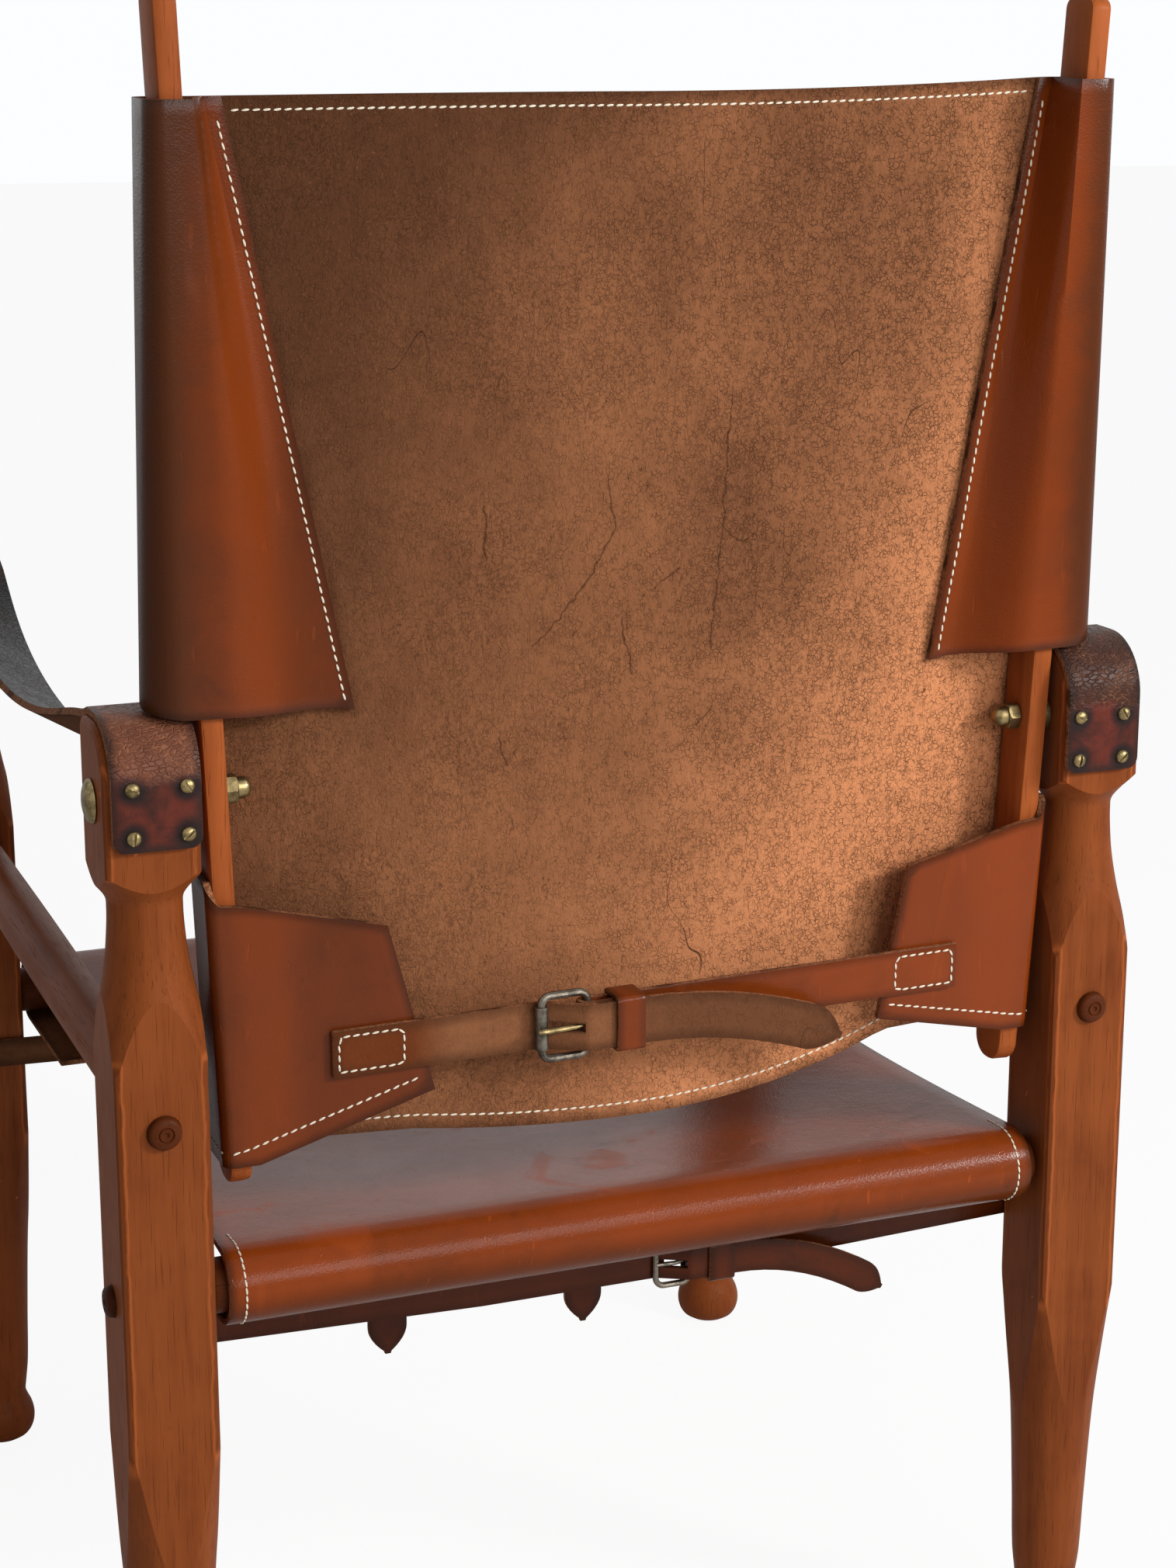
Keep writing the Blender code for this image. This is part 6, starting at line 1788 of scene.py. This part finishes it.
def stitch_sleeve(word, side, shape, half):
    """The seam of a sleeve, seen from behind and from before."""
    seam = []
    for step in range(25):
        down = lerp(*SEAM_SPAN, step / 24)
        front_z = lerp(shape.top, shape.foot_front, down)
        x = post_x(front_z) - lerp(*half.seam_insets, down)
        seam.append((side * (x + SEAM_INSET), lerp(half.top_z(shape, x), shape.foot_seam, down)))
    sew_back(f"seam_{word}_back", seam, FAR_BEHIND)
    sew_back(f"seam_{word}_front", seam, FAR_BEFORE)


def stitch_flap(word, side, shape, half):
    """The hem of a lower flap, and its way round the outer side of the post."""
    flap = []
    inner, outer = FLAP_HEM_INSETS
    for step in range(13):
        x = lerp(pivot_x() - half.flap_insets[1] + inner, pivot_x() - outer, step / 12)
        hem = lerp(half.foot_inner, half.foot_outer, min(step / 12 * 1.04, 1))
        flap.append((side * x, hem + HEM_RISE))
    sew_back(f"flap_hem_{word}", flap, FAR_BEHIND)
    place = back_place()
    reach = shape.offset - SIDE_MARGIN
    beside = side * (pivot_x() + BESIDE_POST)
    around = [place @ Vector((beside, y, half.foot_outer + HEM_RISE)) for y in (reach, -reach)]
    inwards = place.to_3x3() @ Vector((-side, 0, 0))
    stitches(f"flap_side_{word}", "backrest", "fine_back_sling", around, inwards)


def stitch_back():
    """Hems and sleeve seams of the back sling, on both its sides."""
    shape = SlingShape()
    left, right = sling_halves()
    for word, side, half in (("left", 1, left), ("right", -1, right)):
        stitch_sleeve(word, side, shape, half)
        stitch_flap(word, side, shape, half)
    top = []
    hem = []
    for step in range(-20, 21):
        half, side = (left, 1) if step >= 0 else (right, -1)
        x = (pivot_x() + SEAM_WIDTH - half.seam_insets[0]) * abs(step) / 20
        top.append((side * x, half.top_z(shape, x) - TOP_HEM_DROP))
        x = (pivot_x() - HEM_INSET) * abs(step) / 20
        hem.append((side * x, half.hem_z(shape, x) + HEM_RISE))
    sew_back("top_hem_back", top, FAR_BEHIND)
    sew_back("top_hem_front", top, FAR_BEFORE)
    sew_back("foot_hem_back", hem, PANEL_BEHIND)
    sew_back("foot_hem_front", hem, FAR_BEFORE)


PATCH_HALF = 0.0093
PATCH_LENGTH = 0.034
PATCH_INSET = 0.003


def stitch_belt():
    """Sewn rectangles at the two ends of the back belt."""
    ends = (("belt_billet", BILLET_INSETS[0], 1), ("belt_buckle_strap", BUCKLE_INSETS[0], -1))
    for node, inset, side in ends:
        outer = pivot_x() - inset - PATCH_INSET
        inner = outer - PATCH_LENGTH
        guide = []
        for x, z in ((outer, -1), (outer, 1), (inner, 1), (inner, -1), (outer, -1)):
            level = BELT_HEIGHT + (BELT_BAR - side * x) * math.tan(BELT_TILT)
            guide.append((side * x, level + z * PATCH_HALF))
        sew_back(f"patch_{node}", guide, FAR_BEHIND, f"fine_{node}")


ROLL_HEM_INSET = 0.0085
ROLL_HEM_REACH = 0.03
ROLL_HEM_LIFT = 0.006


def stitch_seat():
    """Hems at the ends of the two rolls."""
    legs = bpy.context.scene.chair_legs
    back_z, front_z, roll = seat_levels()
    for word, side_y, z, start, end in (("back", 1, back_z, -100, 175), ("front", -1, front_z, 5, 280)):
        reach = legs.spacing_y / 2
        turned_by = math.radians(start), math.radians(end)
        arc = arc_points((side_y * reach, z), roll + ROLL_HEM_LIFT, *turned_by, 24)
        arc = [(y, z) for y, z in arc if y * side_y > reach - ROLL_HEM_REACH]
        for side_word, side in (("left", 1), ("right", -1)):
            guide = [(side * (seat_half() - ROLL_HEM_INSET), y, z) for y, z in arc]
            stitches(f"roll_hem_{word}_{side_word}", "frame", "fine_seat_sling", guide)


# Stage


CAMERA_PLACE = (0.5693, 1.5817, 0.8998)
CAMERA_YAW = math.radians(21.95)
CAMERA_PITCH = math.radians(13.98)
FOCAL_PIXELS = 3768.6
PHOTO_HEIGHT = 2020
SENSOR = 36
FLOOR_SIZE = 40
FLOOR_COLOUR = (0.88, 0.88, 0.875, 1)
FLOOR_GLOW = 0.92
SKY_COLOUR = (0.97, 0.985, 1.0, 1)
SKY_STRENGTH = 0.28

# Each lamp's name, place, width, height, power and target
LAMPS = (
    ("window", (-1.0, 2.3, 1.65), 1.6, 0.24, 16, (0, 0.2, 0.6)),
    ("side_window", (-1.6, 1.7, 1.5), 0.45, 0.45, 40, (0, 0.2, 0.6)),
    ("fill", (-0.5, 3.3, 1.35), 1.6, 0.6, 25, (0, 0, 0.5)),
)


def make_camera():
    """Camera at the photograph's angle."""
    data = bpy.data.cameras.new("camera")
    data.sensor_width = SENSOR
    data.lens = FOCAL_PIXELS / PHOTO_HEIGHT * SENSOR
    data.clip_end = 60
    camera = bpy.data.objects.new("camera", data)
    bpy.context.scene.collection.objects.link(camera)
    camera.location = CAMERA_PLACE
    forward = Vector((-math.sin(CAMERA_YAW) * math.cos(CAMERA_PITCH),
                      -math.cos(CAMERA_YAW) * math.cos(CAMERA_PITCH), -math.sin(CAMERA_PITCH)))
    camera.rotation_euler = forward.to_track_quat("-Z", "Y").to_euler()
    bpy.context.scene.camera = camera


def area_light(name, place, width, height, power, target):
    """Soft lamp aimed at a point."""
    data = bpy.data.lights.new(name, "AREA")
    data.shape = "RECTANGLE"
    data.size = width
    data.size_y = height
    data.energy = power
    lamp = bpy.data.objects.new(name, data)
    bpy.context.scene.collection.objects.link(lamp)
    lamp.location = place
    lamp.rotation_euler = (Vector(target) - Vector(place)).to_track_quat("-Z", "Y").to_euler()


def camera_white(tree, background, plain):
    """White to the camera and to glossy rays, plain light to the rest."""
    path = tree.nodes.new("ShaderNodeLightPath")
    source = path.outputs["Is Camera Ray"]
    for name in ("Is Glossy Ray", "Is Transmission Ray"):
        seen = tree.nodes.new("ShaderNodeMath")
        seen.operation = "MAXIMUM"
        tree.links.new(source, seen.inputs[0])
        tree.links.new(path.outputs[name], seen.inputs[1])
        source = seen.outputs[0]
    level = tree.nodes.new("ShaderNodeMapRange")
    level.inputs["To Min"].default_value = plain
    level.inputs["To Max"].default_value = 1.0
    tree.links.new(source, level.inputs["Value"])
    tree.links.new(level.outputs[0], background.inputs["Strength"])


def make_stage():
    """Pale floor, plain soft light and the camera."""
    scene = bpy.context.scene
    scene.view_settings.view_transform = "Standard"
    floor = add("plane", size=FLOOR_SIZE)
    floor.name = "floor"
    graph = Graph("pale_floor", 0.6)
    graph.shader.inputs["Base Color"].default_value = FLOOR_COLOUR
    tree = graph.tree
    glow = tree.nodes.new("ShaderNodeEmission")
    glow.inputs["Color"].default_value = (1, 1, 1, 1)
    seen = graph.node("ShaderNodeLightPath", output="Is Camera Ray")
    mixed = graph.node("ShaderNodeMixShader", None, {0: seen * FLOOR_GLOW})
    tree.links.new(graph.shader.outputs[0], mixed.output.node.inputs[1])
    tree.links.new(glow.outputs[0], mixed.output.node.inputs[2])
    tree.links.new(mixed.output, tree.nodes["Material Output"].inputs["Surface"])
    floor.data.materials.append(graph.material)
    world = scene.world or bpy.data.worlds.new("world")
    scene.world = world
    world.use_nodes = True
    background = world.node_tree.nodes["Background"]
    background.inputs["Color"].default_value = SKY_COLOUR
    camera_white(world.node_tree, background, SKY_STRENGTH)
    for lamp in LAMPS:
        area_light(*lamp)
    make_camera()


# Operators


class CHAIR_OT_finishes(bpy.types.Operator):
    """Make the materials"""

    bl_idname = "chair.finishes"
    bl_label = "Finishes"

    def execute(self, context):
        make_finishes()
        return {"FINISHED"}


class CHAIR_OT_legs(bpy.types.Operator):
    """Turn the four legs"""

    bl_idname = "chair.legs"
    bl_label = "Legs"

    def execute(self, context):
        for word_y, side_y in (("front", -1), ("back", 1)):
            for word_x, side_x in (("left", 1), ("right", -1)):
                make_leg(f"leg_{word_y}_{word_x}", side_x, side_y)
        return {"FINISHED"}


class CHAIR_OT_rails(bpy.types.Operator):
    """Turn the side rails and seat rails"""

    bl_idname = "chair.rails"
    bl_label = "Rails"

    def execute(self, context):
        make_rails()
        return {"FINISHED"}


class CHAIR_OT_posts(bpy.types.Operator):
    """Shape the two back posts"""

    bl_idname = "chair.posts"
    bl_label = "Back posts"

    def execute(self, context):
        posts = context.scene.chair_posts
        make_post("back_post_left", 1, posts.below_left)
        make_post("back_post_right", -1, posts.below_right)
        return {"FINISHED"}


class CHAIR_OT_hardware(bpy.types.Operator):
    """Make the bolts, nuts, washers and screws"""

    bl_idname = "chair.hardware"
    bl_label = "Hardware"

    def execute(self, context):
        for word, side in (("left", 1), ("right", -1)):
            make_bolt(f"pivot_bolt_{word}", side)
            make_nut(f"dome_nut_{word}", side)
            make_washer(f"spacer_washer_{word}")
        for word_y in ("front", "back"):
            for word_x in ("left", "right"):
                for number in range(1, 5):
                    make_screw(f"arm_screw_{word_y}_{word_x}_{number}", number)
        return {"FINISHED"}


class CHAIR_OT_back_sling(bpy.types.Operator):
    """Make the back sling"""

    bl_idname = "chair.back_sling"
    bl_label = "Back sling"

    def execute(self, context):
        make_back_sling()
        return {"FINISHED"}


class CHAIR_OT_seat_sling(bpy.types.Operator):
    """Make the seat sling"""

    bl_idname = "chair.seat_sling"
    bl_label = "Seat sling"

    def execute(self, context):
        make_seat_sling()
        return {"FINISHED"}


class CHAIR_OT_arms(bpy.types.Operator):
    """Make the two arm straps"""

    bl_idname = "chair.arms"
    bl_label = "Arm straps"

    def execute(self, context):
        make_arm("arm_strap_left", 1, 0.0585)
        make_arm("arm_strap_right", -1, 0.0665)
        return {"FINISHED"}


class CHAIR_OT_belt(bpy.types.Operator):
    """Make the buckled back belt"""

    bl_idname = "chair.belt"
    bl_label = "Back belt"

    def execute(self, context):
        make_belt()
        return {"FINISHED"}


class CHAIR_OT_straps(bpy.types.Operator):
    """Make the buckled straps under the seat"""

    bl_idname = "chair.straps"
    bl_label = "Seat straps"

    def execute(self, context):
        make_seat_straps()
        make_cross_straps()
        return {"FINISHED"}


class CHAIR_OT_stitches(bpy.types.Operator):
    """Sew the hems and seams"""

    bl_idname = "chair.stitches"
    bl_label = "Stitches"

    def execute(self, context):
        stitch_back()
        stitch_belt()
        stitch_seat()
        return {"FINISHED"}


class CHAIR_OT_stage(bpy.types.Operator):
    """Set the floor, lights and camera"""

    bl_idname = "chair.stage"
    bl_label = "Stage"

    def execute(self, context):
        make_stage()
        return {"FINISHED"}


OPERATORS = (
    CHAIR_OT_finishes, CHAIR_OT_legs, CHAIR_OT_rails, CHAIR_OT_posts, CHAIR_OT_hardware, CHAIR_OT_back_sling,
    CHAIR_OT_seat_sling, CHAIR_OT_arms, CHAIR_OT_belt, CHAIR_OT_straps, CHAIR_OT_stitches, CHAIR_OT_stage,
)
GROUPS = (
    ("chair_legs", LegSizes), ("chair_posts", PostSizes), ("chair_leather", LeatherSizes),
    ("chair_finishes", Finishes),
)


class CHAIR_PT_panel(bpy.types.Panel):
    """The chair's sizes, colours and steps"""

    bl_label = "Campaign Chair"
    bl_space_type = "VIEW_3D"
    bl_region_type = "UI"
    bl_category = "Chair"

    def draw(self, context):
        for group_name, group in GROUPS:
            box = self.layout.box()
            for name in group.__annotations__:
                box.prop(getattr(context.scene, group_name), name)
        for operator in OPERATORS:
            self.layout.operator(operator.bl_idname)


def register():
    """Register the classes and hang the sizes on the scene."""
    for name, group in GROUPS:
        bpy.utils.register_class(group)
        setattr(bpy.types.Scene, name, PointerProperty(type=group))
    for operator in OPERATORS:
        bpy.utils.register_class(operator)
    bpy.utils.register_class(CHAIR_PT_panel)


def unregister():
    """Undo register, last class first."""
    bpy.utils.unregister_class(CHAIR_PT_panel)
    for operator in reversed(OPERATORS):
        bpy.utils.unregister_class(operator)
    for name, group in reversed(GROUPS):
        delattr(bpy.types.Scene, name)
        bpy.utils.unregister_class(group)


def main():
    """Build the chair and its stage."""
    register()
    for operator in OPERATORS:
        step = operator.bl_idname.split(".")[1]
        getattr(bpy.ops.chair, step)()


if __name__ == "__main__":
    main()
